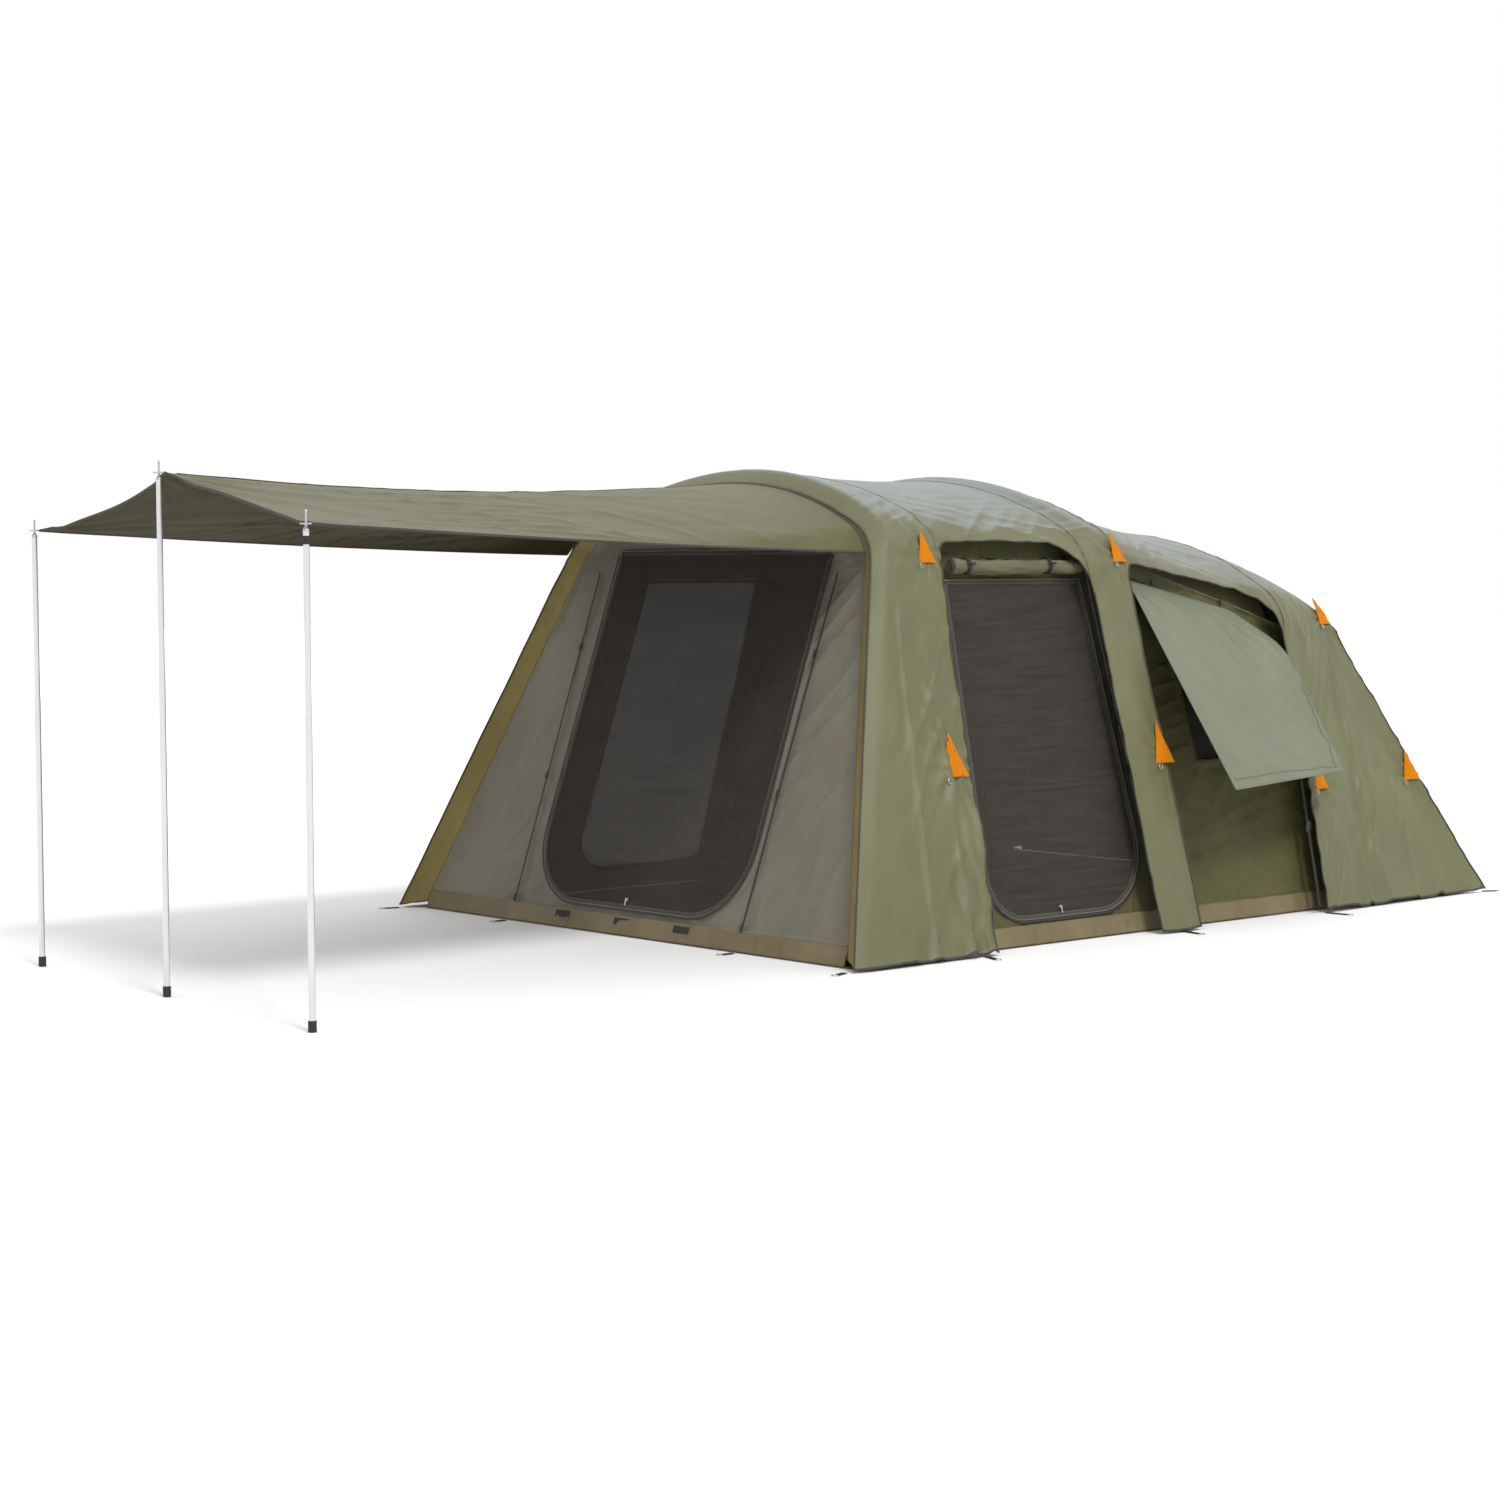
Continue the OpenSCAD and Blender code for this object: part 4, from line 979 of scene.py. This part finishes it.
WALL_SPLIT = 1.957
DOOR_WALL = side_outline([(behind_beam(WALL_FOOT), WALL_FOOT), (WALL_SPLIT, WALL_FOOT), (WALL_SPLIT, 1.65),
                          (1.88, 1.66), (1.84, 1.745), (behind_beam(1.745), 1.745)])
WINDOW_WALL = side_outline([(WALL_SPLIT, WALL_FOOT), (3.9, WALL_FOOT), (3.38, 1.15), (3.29, 1.33),
                            (2.08, 1.69), (WALL_SPLIT, 1.65)])


def ray_hits(outline, centre, angles):
    """Where rays from the centre at these angles cross a closed outline: each ray is tried against
    every side at once, and the far hit is kept."""
    a = outline - centre
    b = np.roll(a, -1, 0) - a
    d = np.stack([np.cos(angles), np.sin(angles)], axis=1)[:, None]
    cross = d[..., 0] * b[None, :, 1] - d[..., 1] * b[None, :, 0]
    cross = np.where(np.abs(cross) < 1e-12, 1e-12, cross)
    far = (a[None, :, 0] * b[None, :, 1] - a[None, :, 1] * b[None, :, 0]) / cross
    share = (a[None, :, 0] * d[..., 1] - a[None, :, 1] * d[..., 0]) / cross
    good = (far > 0) & (share > -1e-9) & (share < 1 + 1e-9)
    reach = np.where(good, far, 0).max(1)
    return centre + reach[:, None] * d[:, 0]


RING_AROUND, RING_ACROSS = 760, 34          # points round a wall's ring of cloth, and across it


def ring_of_cloth(hole, outline):
    """Flat points of a ring of cloth: row 0 on the hole's edge and the last row on the outline, along
    rays that pass through every corner of both."""
    centre = (hole.min(0) + hole.max(0)) / 2
    corners = np.concatenate([hole, outline]) - centre
    angles = np.sort(np.concatenate([np.arctan2(corners[:, 1], corners[:, 0]),
                                     np.linspace(-np.pi, np.pi, RING_AROUND, endpoint=False)]))
    angles = angles[np.append(np.diff(angles) > 1e-4, True)]
    near, far = ray_hits(hole, centre, angles), ray_hits(outline, centre, angles)
    v = np.linspace(0, 1, RING_ACROSS)[:, None, None]
    return near * (1 - v) + far * v


WALL_THICK = 0.004


def wall_cloth(name, flat, depth, plane, side, finish):
    """A wall from its flat points and their depths, on one side of the tent, closed round its ring."""
    grid = plane(np.concatenate([flat, depth[..., None]], axis=2))
    uv = flat
    if side < 0:
        grid, uv = mirrored(grid), uv[:, ::-1]
    return cloth(name, grid, WALL_THICK, finish, uv=uv, wrap=True, lining="wall"), grid


def pull_lines(flat, turn, seed, edge):
    """Folds of a wall: long slanting creases and soft bumps, fading out towards its sewn edges."""
    x, y = flat[..., 0], flat[..., 1]
    fade = np.minimum(1, edge * 6)
    depth = fade * (0.010 * (folds(x, y, turn, 0.75, 0.075, seed, 3) - 0.25)
                    + 0.008 * (folds(x, y, turn + 28, 0.5, 0.12, seed + 7, 2) - 0.3)
                    + 0.004 * (folds(x, y, turn - 34, 0.35, 0.05, seed + 9, 2) - 0.3)
                    + 0.006 * rumple(x, y, seed + 3, 0.35))
    return depth - depth.max() * fade - 0.0004


def edge_share(flat):
    """0 at both edges of a ring, 1 in the middle of it."""
    v = np.linspace(0, 1, flat.shape[0])[:, None] * np.ones(flat.shape[:2])
    return 4 * v * (1 - v)


# %% Walls: make them
SIDES = {"right": 1, "left": -1}


def make_wall(node, hole, outline, plane, side, turn, seed, finish="wall"):
    flat = ring_of_cloth(hole, outline)
    depth = pull_lines(flat, turn, seed, edge_share(flat))
    piece, grid = wall_cloth(node + "_cloth", flat, depth, plane, side, finish)
    hand_over(piece, node=node)


make_wall("front_wall", FRONT_DOOR_EDGE, end_wall_outline(FRONT_CREST, FRONT_LEAN), front_plane, 1, 52, 101)
for side_name, side in SIDES.items():
    make_wall("door_wall_" + side_name, SIDE_DOOR_EDGE, DOOR_WALL, side_plane, side, 70, 111, "side_wall")
    make_wall("window_wall_" + side_name, WINDOW, WINDOW_WALL, side_plane, side, 12, 121, "side_wall")

# %% [markdown]
# Between each end wall and the edge of the fly a facing is sewn in, which hides the air beam. It is
# ruled from the outline of the wall out to the edge of the fly, all the way over the arch.

# %% Facings of the end arches


FACING_STEPS, FACING_ROWS, FACING_THICK = 500, 8, 0.002


def facing(name, crest, plane, edge, rear):
    """A strip between the edge of the fly and the outline of the wall, both cut into the same number of
    steps from the right foot over the crown to the left foot. It sags by folds times a half sine."""
    half = inset_half(crest, WALL_INSET)
    half = half[half[:, 1] > 0.02]
    inner = resample(whole_arch(half), FACING_STEPS)
    inner = plane(np.concatenate([inner, np.full((FACING_STEPS, 1), -FACING_THICK)], axis=1))
    if rear:
        inner = inner[::-1]
    outer = resample(edge, FACING_STEPS)
    x, v = np.meshgrid(np.linspace(0, 1, FACING_STEPS), np.linspace(0, 1, FACING_ROWS), indexing="ij")
    grid = outer[:, None] * (1 - v[..., None]) + inner[:, None] * v[..., None]
    if rear:
        grid = grid[:, ::-1]
    crease = folds(x * 5.5, v * 0.13 + x, 90, 0.3, 0.09, 271, 2) - 0.3
    sag = np.sin(np.pi * v) * (0.004 + 0.008 * crease)
    grid = grid - sag[..., None] * grid_normals(grid)
    piece = cloth(name, grid, FACING_THICK, "fly_lining")
    hand_over(piece)


facing("front_facing", FRONT_CREST, front_plane, skin[0], rear=False)
facing("rear_facing", REAR_CREST, rear_plane, skin[-1], rear=True)

# %% [markdown]
# The rear wall has a low opening under a sewn-on cover. It is not seen from the front, so its shape
# is kept simple: the same sort of ring of cloth, and a slack sheet with a round bottom over it.

# %% Rear wall and its cover
REAR_OPENING = (-0.56, 0.56, -0.56, 0.56, 0.23, 1.25, 0.26, 0.26)
make_wall("rear_wall", door_outline(*REAR_OPENING, grow=-0.03), end_wall_outline(REAR_CREST, REAR_LEAN),
          rear_plane, 1, 48, 131)


DOOR_ROWS, DOOR_COLUMNS = 120, 80


def doorway_grid(door):
    """A flat grid over a doorway: at every height a straight row from its left edge to its right edge.
    The edges are straight above the round corners and follow their circles below."""
    left, right, low_left, low_right, low, top, rl, rr = door
    y = low + (top - low) * np.linspace(0, 1, DOOR_ROWS) ** 1.3
    drop_l, drop_r = np.maximum(0, rl - (y - low)), np.maximum(0, rr - (y - low))
    straight = np.clip((y - low - max(rl, rr)) / (top - low - max(rl, rr)), 0, 1)
    x0 = low_left + (left - low_left) * straight + rl - np.sqrt(rl ** 2 - drop_l ** 2)
    x1 = low_right + (right - low_right) * straight - rr + np.sqrt(rr ** 2 - drop_r ** 2)
    u = np.linspace(0, 1, DOOR_COLUMNS)[:, None]
    return np.stack([x0 + (x1 - x0) * u, np.broadcast_to(y, (DOOR_COLUMNS, DOOR_ROWS))], axis=2)


def slack(grid):
    """1 in the middle of a grid and 0 along its four edges."""
    u, v = (np.linspace(0, 1, n) for n in grid.shape[:2])
    return np.minimum(1, 16 * (u * (1 - u))[:, None]) * np.minimum(1, 12 * (v * (1 - v))[None])


def on_plane(flat, depth, plane, side=1):
    """Flat points and their depths, in the tent's frame and on the given side of it."""
    grid = plane(np.concatenate([flat, np.asarray(depth)[..., None]], axis=2))
    return grid if side > 0 else mirrored(grid)


flat = doorway_grid(REAR_OPENING)
depth = 0.0045 + 0.006 * slack(flat) * (folds(flat[..., 0], flat[..., 1], 62, 0.6, 0.09, 141) + 0.3)
cover_grid = on_plane(flat, depth, rear_plane)
cover = cloth("rear_cover_cloth", cover_grid, 0.003, "wall", uv=flat)
hand_over(cover, node="rear_cover")

# %% [markdown]
# The groundsheet turns up 8 cm all round as a skirt. It is stiff coated cloth that creases where it
# was folded, so the skirt waves in and out and the floor is not quite flat.

# %% Floor and skirt
FLOOR_THICK = 0.006


def floor_grid():
    x, y = np.meshgrid(np.linspace(-1.478, 1.478, 150), np.linspace(-2.126, 2.003, 200), indexing="ij")
    z = FLOOR_THICK - 0.0032 + 0.0028 * folds(x, y, 20, 0.9, 0.12, 151) + 0.0012 * rumple(x, y, 152, 0.4)
    return np.stack([x, y, np.maximum(z, 0.0034)], axis=2)


floor_points = floor_grid()
floor_cloth = cloth("floor_cloth", floor_points, 0.0028, "floor")
hand_over(floor_cloth, node="floor_sheet")


def skirt_grid(a, b, lean, seed, plane, side=1):
    """A strip from a to b along a wall, from the floor to the top of the skirt. Its creases stand
    proud by the product of short folds along it and a half sine over its height."""
    count = int((b - a) / 0.012)
    x, v = np.meshgrid(np.linspace(a, b, count), np.linspace(0, 1, 12), indexing="ij")
    y = upslope(0.006, lean) + (upslope(0.0865, lean) - upslope(0.006, lean)) * v
    bulge = 0.011 * np.sin(np.pi * v) * (folds(x, y, 78, 0.22, 0.07, seed, 1.5) - 0.35)
    bulge += 0.004 * np.sin(np.pi * v) * rumple(x, y, seed + 5, 0.3)
    return on_plane(np.stack([x, y], axis=2), bulge, plane, side)


SKIRT_HALF = 1.4575
skirt_parts = [skirt_grid(-SKIRT_HALF, SKIRT_HALF, FRONT_LEAN, 161, front_plane),
               skirt_grid(-SKIRT_HALF, SKIRT_HALF, REAR_LEAN, 171, rear_plane)]
skirt_parts += [skirt_grid(0.0526, 4.1184, SIDE_LEAN, 181, side_plane, side) for side in (1, -1)]
skirt = joined("skirt_cloth", [cloth("skirt", part, 0.004, "floor") for part in skirt_parts])
hand_over(skirt, node="floor_skirt")

# %% [markdown]
# Mesh doors and windows are netting, bound along the edge with a dark tape that holds the zip. The
# netting is drawn as a see-through sheet, since its holes are far too small to model, and it sags a
# little inwards with level creases from being packed.

# %% Mesh doors and windows


def netting_depth(flat, base, swell, seed):
    """Depth of netting behind its wall: base, less a slack bulge with level creases in it."""
    x, y = flat[..., 0], flat[..., 1]
    creases = folds(x, y, 3, 1.2, 0.11, seed, 2) + 0.6 * folds(x, y, 64, 0.8, 0.09, seed + 4, 2)
    return base - swell * slack(flat) * (0.4 + creases)


BINDING_WIDE, BINDING_DEPTH = 0.018, -0.003


def edge_path(door, plane, side):
    """The middle of a door's binding: a closed path half its width inside the door's outline."""
    outline = door_outline(*door, grow=-BINDING_WIDE / 2)
    outline = resample(np.concatenate([outline, outline[:1]]), 260)
    path = plane(np.concatenate([outline, np.full((len(outline), 1), BINDING_DEPTH)], axis=1))
    return path * np.array([side, 1, 1])


def mesh_door(node, door, plane, body, side, seed):
    flat = doorway_grid(door)
    grid = on_plane(flat, netting_depth(flat, -0.0018, 0.006, seed), plane, side)
    netting = cloth(node + "_netting", grid, 0.0012, "netting", uv=flat if side > 0 else flat[:, ::-1])
    binding = tape(node + "_binding", edge_path(door, plane, side), away_from(plane) * np.array([side, 1, 1]),
                   BINDING_WIDE, 0.004, "piping")
    binding.parent = netting
    hand_over(netting, body, node)


mesh_door("mesh_door_front", FRONT_DOOR, front_plane, "front_door", 1, 191)
for side_name, side in SIDES.items():
    mesh_door("mesh_door_" + side_name, SIDE_DOOR, side_plane, side_name + "_door", side, 201)


PANE_LAP = 1.0375                           # the netting's size, as a share of the window's


def ruled(bottom, top, columns, rows):
    """A flat grid between two chains of points, each cut into evenly spaced columns."""
    a, b = resample(bottom, columns), resample(top, columns)
    v = np.linspace(0, 1, rows)[None, :, None]
    return a[:, None] * (1 - v) + b[:, None] * v


for side_name, side in SIDES.items():
    middle = (WINDOW[0] + WINDOW[3]) / 2
    pane = middle + (WINDOW - middle) * PANE_LAP
    flat = ruled(pane[:2], pane[[5, 4, 3, 2]], 60, 60)
    grid = on_plane(flat, netting_depth(flat, -0.0068, 0.005, 211), side_plane, side)
    netting = cloth("window_netting_" + side_name, grid, 0.0012, "netting",
                    uv=flat if side > 0 else flat[:, ::-1])
    hand_over(netting, node="window_mesh_" + side_name)

# %% [markdown]
# A window flap hangs from its top edge, propped a little open. It is stiff coated cloth: a ruled sheet
# between its top edge and its bottom edge, with a double hem down the free side and along the bottom.

# %% Window flaps
FLAP_PIVOT = (2.378, 1.589)
FLAP_TURN, FLAP_OUT = math.radians(-12.8), math.radians(21)
FLAP_TOP = np.array([[-160, -1], [540, -1], [690, -70], [800, -120], [850, -185], [865, -260]]) / 1000
FLAP_LOW = np.array([[5, -1160], [900, -868]]) / 1000


def flap_plane(p):
    """From the flap's own plane, hinge line along x, to the tent's frame: leant out from the wall by
    the flap's opening, then turned to the slope of its top edge."""
    x = p[..., 0]
    y = p[..., 1] * math.cos(FLAP_OUT) + p[..., 2] * math.sin(FLAP_OUT)
    z = -p[..., 1] * math.sin(FLAP_OUT) + p[..., 2] * math.cos(FLAP_OUT)
    c, s = math.cos(FLAP_TURN), math.sin(FLAP_TURN)
    return side_plane(np.stack([FLAP_PIVOT[0] + x * c - y * s, FLAP_PIVOT[1] + x * s + y * c, 0.0085 + z],
                               axis=-1))


def flap_depth(flat):
    x, y = flat[..., 0], flat[..., 1]
    return 0.0025 + slack(flat) * (0.018 * (folds(x, y, 128, 0.8, 0.13, 221, 2) - 0.4)
                                   + 0.008 * (folds(x, y, 150, 0.5, 0.06, 223, 3) - 0.3)
                                   + 0.008 * rumple(x, y, 225, 0.3))


for side_name, side in SIDES.items():
    top = np.concatenate([FLAP_TOP, [[0.872, -0.36]]])
    flat = ruled(FLAP_LOW, smoothed(resample(top, 90), 6), 90, 110)
    grid = on_plane(flat, flap_depth(flat), flap_plane, side)
    flap = cloth("window_flap_cloth_" + side_name, grid, 0.003, "flap",
                 uv=flat if side > 0 else flat[:, ::-1])
    rim = np.concatenate([flat[::-1, 0], flat[0, 1:], flat[1:, -1], flat[-1, -2::-1]])
    rim = resample(rim, 360)
    level = np.full((len(rim), 1), 0.001)
    turn = np.array([side, 1, 1])
    out = away_from(flap_plane) * turn
    edge = tube("flap_edge_" + side_name, flap_plane(np.concatenate([rim, level], axis=1)) * turn, out,
                0.0034, "flap")
    double = flap_plane(np.concatenate([flat, flap_depth(flat)[..., None] + 0.001], axis=2)) * turn
    inner = tube("flap_hem_" + side_name, np.concatenate([double[3:-5, 5], double[-5, 5:-3]]), out,
                 0.0026, "flap")
    hand_over(flap, side_name + "_flap", "window_flap_" + side_name)
    for piece in (edge, inner):
        hand_over(piece, side_name + "_flap")

# %% [markdown]
# The storm doors are rolled up and tied above the doorways. A roll is a spiral of cloth: the radius
# grows by the same step each turn. It is squeezed at the ties, sags between them, and its creases
# go through all the layers, since they were rolled in together.

# %% Rolled storm doors
ROLL_RADIUS, ROLL_CORE, ROLL_TURNS, ROLL_OUT = 0.031, 0.007, 9, 0.037


def roll_grid(start, end, height, ties, seed):
    """A spiral carried along x: the radius is core + (radius - core) * share of the turns, times one
    plus creases that repeat every turn, less a squeeze round each tie."""
    theta, x = np.meshgrid(np.linspace(0, 2 * np.pi * ROLL_TURNS, 22 * ROLL_TURNS + 1),
                           np.linspace(start, end, int((end - start) / 0.008)), indexing="ij")
    share = theta / theta[-1, 0]
    around = np.stack([np.cos(theta), np.sin(theta)])
    crease = folds(x * 3 + around[0], around[1] * 0.6 + x, 12, 0.5, 0.16, seed, 1.5) - 0.4
    crease += 0.5 * smooth_noise(x * 18, around[0] * 2.2 + around[1], seed + 3) - 0.25
    squeeze = sum(np.exp(-((x - start - (end - start) * t - 0.009) / 0.035) ** 2) for t in ties)
    radius = ROLL_CORE + (ROLL_RADIUS - ROLL_CORE) * share
    radius = radius * (1 + 0.26 * crease * (1 - squeeze) - 0.1 * squeeze)
    sag = -0.007 * (1 - squeeze) * rise(x, start, start + 0.08) * rise(end - x, 0, 0.08)
    y = height + radius * np.sin(theta) * 1.04 + sag
    z = ROLL_OUT + radius * np.cos(theta)
    return np.stack([x, y, z], axis=2)


FRONT_ROLL = (-0.72, 0.72, upslope(1.775, FRONT_LEAN), (0.12, 0.5, 0.87))
SIDE_ROLL = (1.05, 1.885, upslope(1.618, SIDE_LEAN), (0.1, 0.72))


def make_roll(node, roll, plane, side, seed):
    local = roll_grid(*roll, seed)
    grid = plane(local)
    if side < 0:
        grid = mirrored(grid)
    piece = cloth(node + "_cloth", grid, 0.0012, "roll")
    hand_over(piece, node=node)
    print(f"{node}: {cloth_area(grid):.2f} m2 of cloth in the roll")


make_roll("rolled_door_front", FRONT_ROLL, front_plane, 1, 231)
for side_name, side in SIDES.items():
    make_roll("rolled_door_" + side_name, SIDE_ROLL, side_plane, side, 241)

# %% [markdown]
# An air beam is a cloth sleeve round a hard-blown tube. It keeps a round section and wrinkles in the
# bends, where the sleeve is too long for the curve.

# %% Air beams
BEAM_RADIUS, BEAM_FOOT, BEAM_SIDES = 0.044, 0.118, 28
BEAMS = {"beam_front": (FRONT_CREST, 0.070, FRONT_FOOT + 0.040, FRONT_LEAN),
         "beam_middle": (MIDDLE_CREST, 0.062, MIDDLE_FOOT, 0.0),
         "beam_rear": (REAR_CREST, 0.076, REAR_FOOT, -REAR_LEAN)}


def make_beam(node, arch, inset, foot, lean, seed):
    """A tube round the inset arch. Its radius is r * (1 - a * wrinkles), the wrinkles being short waves
    along the path, weaker within 1.2 m of each foot than beyond 1.6 m."""
    path = resample(whole_arch(inset_half(arch, inset)), 900)
    length = np.concatenate([[0], np.cumsum(np.linalg.norm(np.diff(path, axis=0), axis=1))])
    keep = (length >= BEAM_FOOT) & (length <= length[-1] - BEAM_FOOT)
    path, length = path[keep], length[keep]
    flat_path = np.stack([path[:, 0], np.zeros(len(path)), path[:, 1]], axis=1)
    grid = sweep_grid(flat_path, (0, 1, 0), round_profile(1.0, BEAM_SIDES))
    ring = grid - flat_path[:, None]
    bend = rise(length, 1.2, 1.6) * rise(length[-1] + length[0] - length, 1.2, 1.6)
    around = np.linspace(0, 2 * np.pi, BEAM_SIDES, endpoint=False)[None]
    waves = folds(length[:, None], np.sin(around) * 0.2, 90, 0.3, 0.03, seed, 2)
    to_end = np.clip(np.stack([length - length[0], length[-1] - length]) / 0.03, 0.05, 1)
    ends = np.sqrt(to_end[0] * to_end[1])
    radius = BEAM_RADIUS * (1 - 0.05 * (0.3 + 0.7 * bend[:, None]) * waves) * ends[:, None]
    grid = flat_path[:, None] + ring * radius[..., None]
    s, c = math.sin(math.radians(lean)), math.cos(math.radians(lean))
    x, y, z = grid[..., 0], grid[..., 1], grid[..., 2]
    placed = np.stack([x, foot - HALF_FLOOR + y * c + z * s, z * c - y * s], axis=-1)
    beam = capped_tube(node + "_sleeve", placed, "sleeve")
    hand_over(beam, node=node)
    print(f"{node}: {length[-1] - length[0]:.2f} m long")


for number, (node, beam) in enumerate(BEAMS.items()):
    make_beam(node, *beam, 251 + number)

# %% [markdown]
# The awning is one sheet, stretched from the front arch to three eyelets. The arch end follows the
# arch, the front edge dips between the eyelets, and the middle hangs a little, so the surface is a
# straight line from the arch to the front edge at each share c of the width, less a sag. Pull lines
# fan out from the eyelets.

# %% Awning
AWNING_REACH, AWNING_HALF, AWNING_SET, AWNING_TURN = 2.41, 1.11, 0.27, math.radians(3.4)
CORNER_UP, RIDGE_UP, AWNING_LOW = 1.788, 1.994, 1.69
# rows of the skin at the ends of leg, shoulder and crown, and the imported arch's rows at the same places
CAD_ROWS = ([0, LEG_STEPS, LEG_STEPS + BEND_STEPS, LEG_STEPS + BEND_STEPS + CROWN_STEPS], [0, 5, 10, 16])


def front_edge_point(c):
    """The front edge at c from -1 to 1: a tent shape through the eyelets, less a dip in each half."""
    u = 4 * np.abs(c) * (1 - np.abs(c))
    return np.stack([AWNING_SET + c * AWNING_HALF * math.cos(AWNING_TURN),
                     -AWNING_REACH - c * AWNING_HALF * math.sin(AWNING_TURN) + 0.055 * u - HALF_FLOOR,
                     RIDGE_UP - (RIDGE_UP - CORNER_UP) * np.abs(c) - 0.025 * u], axis=-1)


def arch_edge_point(c):
    """The arch end at c: down the arch from the crown, by the share c of the way to its lower end."""
    line = lines[0]
    low = np.interp(np.interp(AWNING_LOW, line[:, 2], np.arange(len(line))), *CAD_ROWS)
    crown = CAD_ROWS[1][-1]
    row = np.interp(crown - np.abs(c) * (crown - low), CAD_ROWS[1], CAD_ROWS[0])
    q = np.stack([np.interp(row, np.arange(len(line)), line[:, k]) for k in range(3)], axis=-1)
    return q * np.stack([np.sign(c) + (c == 0), np.ones_like(c), np.ones_like(c)], axis=-1) - [0, 0.025, 0]


def awning_point(c, t):
    """The sheet at share c of the width and t of the way out from the arch."""
    a, b = arch_edge_point(c), front_edge_point(c) + np.array([0, 0.025, 0])
    sag = 0.055 * 4 * t * (1 - t) * (1 - 0.8 * np.abs(c))
    return a + (b - a) * t[..., None] - sag[..., None] * np.array([0, 0, 1])


def awning_folds(c, t, grid):
    """Pull lines: creases along lines that fan out from each eyelet, and long ones down the slope."""
    x, y = grid[..., 0], grid[..., 1]
    inner = rise(1 - np.abs(c), 0, 0.14) * (0.35 + 0.65 * rise(np.abs(c), 0, 0.15))
    depth = 0.009 * inner * (folds(x, y, 84, 1.2, 0.10, 261, 2.5) - 0.3)
    depth *= np.sin(np.pi * np.clip(t * 1.04, 0, 1))
    depth += 0.009 * inner * (folds(x, y, 35, 0.8, 0.12, 263, 3) - 0.25) * np.sin(np.pi * np.clip(t, 0, 1))
    for place in (-1, 0, 1):
        e = front_edge_point(np.array(float(place)))
        far = np.hypot(x - e[0], y - e[1])
        rays = np.sin(13 * np.arctan2(x - e[0], y - e[1]) + 3 * far)
        depth += 0.010 * rays * np.exp(-far / 0.45) * rise(far, 0.03, 0.18) * (0.3 + 0.7 * inner)
    return depth + 0.002 * inner * rumple(x, y, 267, 0.35)


AWNING_ROWS, AWNING_COLUMNS = 170, 181
t, c = np.meshgrid(np.linspace(1, 0, AWNING_ROWS), np.linspace(1, -1, AWNING_COLUMNS), indexing="ij")
awning_grid = awning_point(c, t)
awning_grid = awning_grid + awning_folds(c, t, awning_grid)[..., None] * grid_normals(awning_grid)
awning = cloth("awning_cloth", awning_grid, 0.004, "awning", lining="awning_lining")
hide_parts("awning_sheet")

normals = grid_normals(awning_grid)
hems = [tube("hem", awning_grid[edge] - 0.002 * normals[edge], normals[edge], radius, "piping")
        for edge, radius in ((np.s_[0], 0.0055), (np.s_[:, 0], 0.0055), (np.s_[:, -1], 0.0055),
                             (np.s_[-1], 0.007))]
awning_hems = joined("awning_hems", hems)
middle = np.s_[3:-2, AWNING_COLUMNS // 2]
ridge = tape("awning_ridge_seam", awning_grid[middle] + 0.001 * normals[middle], normals[middle], 0.02,
             0.0022, "awning")
for piece in (awning, awning_hems, ridge):
    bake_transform(piece)
print("awning made, with", len(hems), "hems")

# %% [markdown]
# Short dark strips close the gap between the side walls and the roof above them. Their dark colour is
# painted shade, standing in for the shade in the recess under the roof's overhang. Each is a strip
# ruled from the top of a wall to the underside of the roof. A webbing strap with a buckle runs down
# each rear leg of the fly, beside the window wall.

# %% Strips in painted shade over the side walls, and corner straps


def shade_valance(first, last, wall_top, above, side):
    """A strip between two columns of the skin, from the wall's top edge to the roof's underside."""
    columns = np.arange(first + 2, last - 1)
    y = half_skin[columns, -1, 1] + HALF_FLOOR
    v = np.linspace(0, 1, len(columns))
    z_low = np.interp(v, *wall_top)
    low = side_plane(np.stack([y, upslope(z_low, SIDE_LEAN), np.full(len(y), -0.012)], axis=1))
    high = skin_line(columns, np.interp(v, *above)) - [0.012, 0, 0.006]
    low[:, 1] = high[:, 1] = (low[:, 1] + high[:, 1]) / 2
    s = np.linspace(0, 1, 10)[None, :, None]
    grid = low[:, None] * (1 - s) + high[:, None] * s
    if side < 0:
        grid = mirrored(grid)
    shade_valance_areas.append(cloth_area(grid))
    # Its dark finish is painted shade for the recess under the roof.
    return cloth("shade_valance", grid, 0.002, "shade_valance")


strips, shade_valance_areas = [], []
for side in (1, -1):
    strips.append(shade_valance(SEAM_FRONT, SEAM_MID_A, ([0, 1], [1.70, 1.62]), ([0, 1], [1.80, 1.80]), side))
    strips.append(shade_valance(SEAM_MID_B, SEAM_REAR, ([0, 1], [1.62, 1.28]), ([0, 1], [1.72, 1.53]), side))
shade_valances = joined("shade_valances", strips)
hand_over(shade_valances)

STRAP_POINTS, BUCKLE_HALF = 60, 0.028
for side_name, side in SIDES.items():
    height = np.linspace(0.03, 0.74, STRAP_POINTS)
    path = skin_line(np.full(STRAP_POINTS, SEAM_REAR), height) + [-0.012, -0.03, 0]
    path[:, 0] += 0.0015 * np.sin(height * 11)
    path *= np.array([side, 1, 1])
    strap = tape("corner_strap_" + side_name, path, (side, 0, 0.3), 0.019, 0.0024, "webbing")
    here = path[STRAP_POINTS // 2]
    along = np.linspace(-1, 1, 15)
    body = here + BUCKLE_HALF * along[:, None] * np.array([0, 0, 1])
    fat = 1 - 0.35 * np.abs(along) ** 3
    buckle = capped_tube("strap_buckle_" + side_name,
                         sweep_grid(body, (side, 0, 0.3), flat_profile(0.036, 0.014), fat), "plastic")
    hand_over(strap)
    hand_over(buckle)
print(f"valances: {len(strips)}, {sum(shade_valance_areas):.3f} m2 in all; corner straps: {len(SIDES)}")
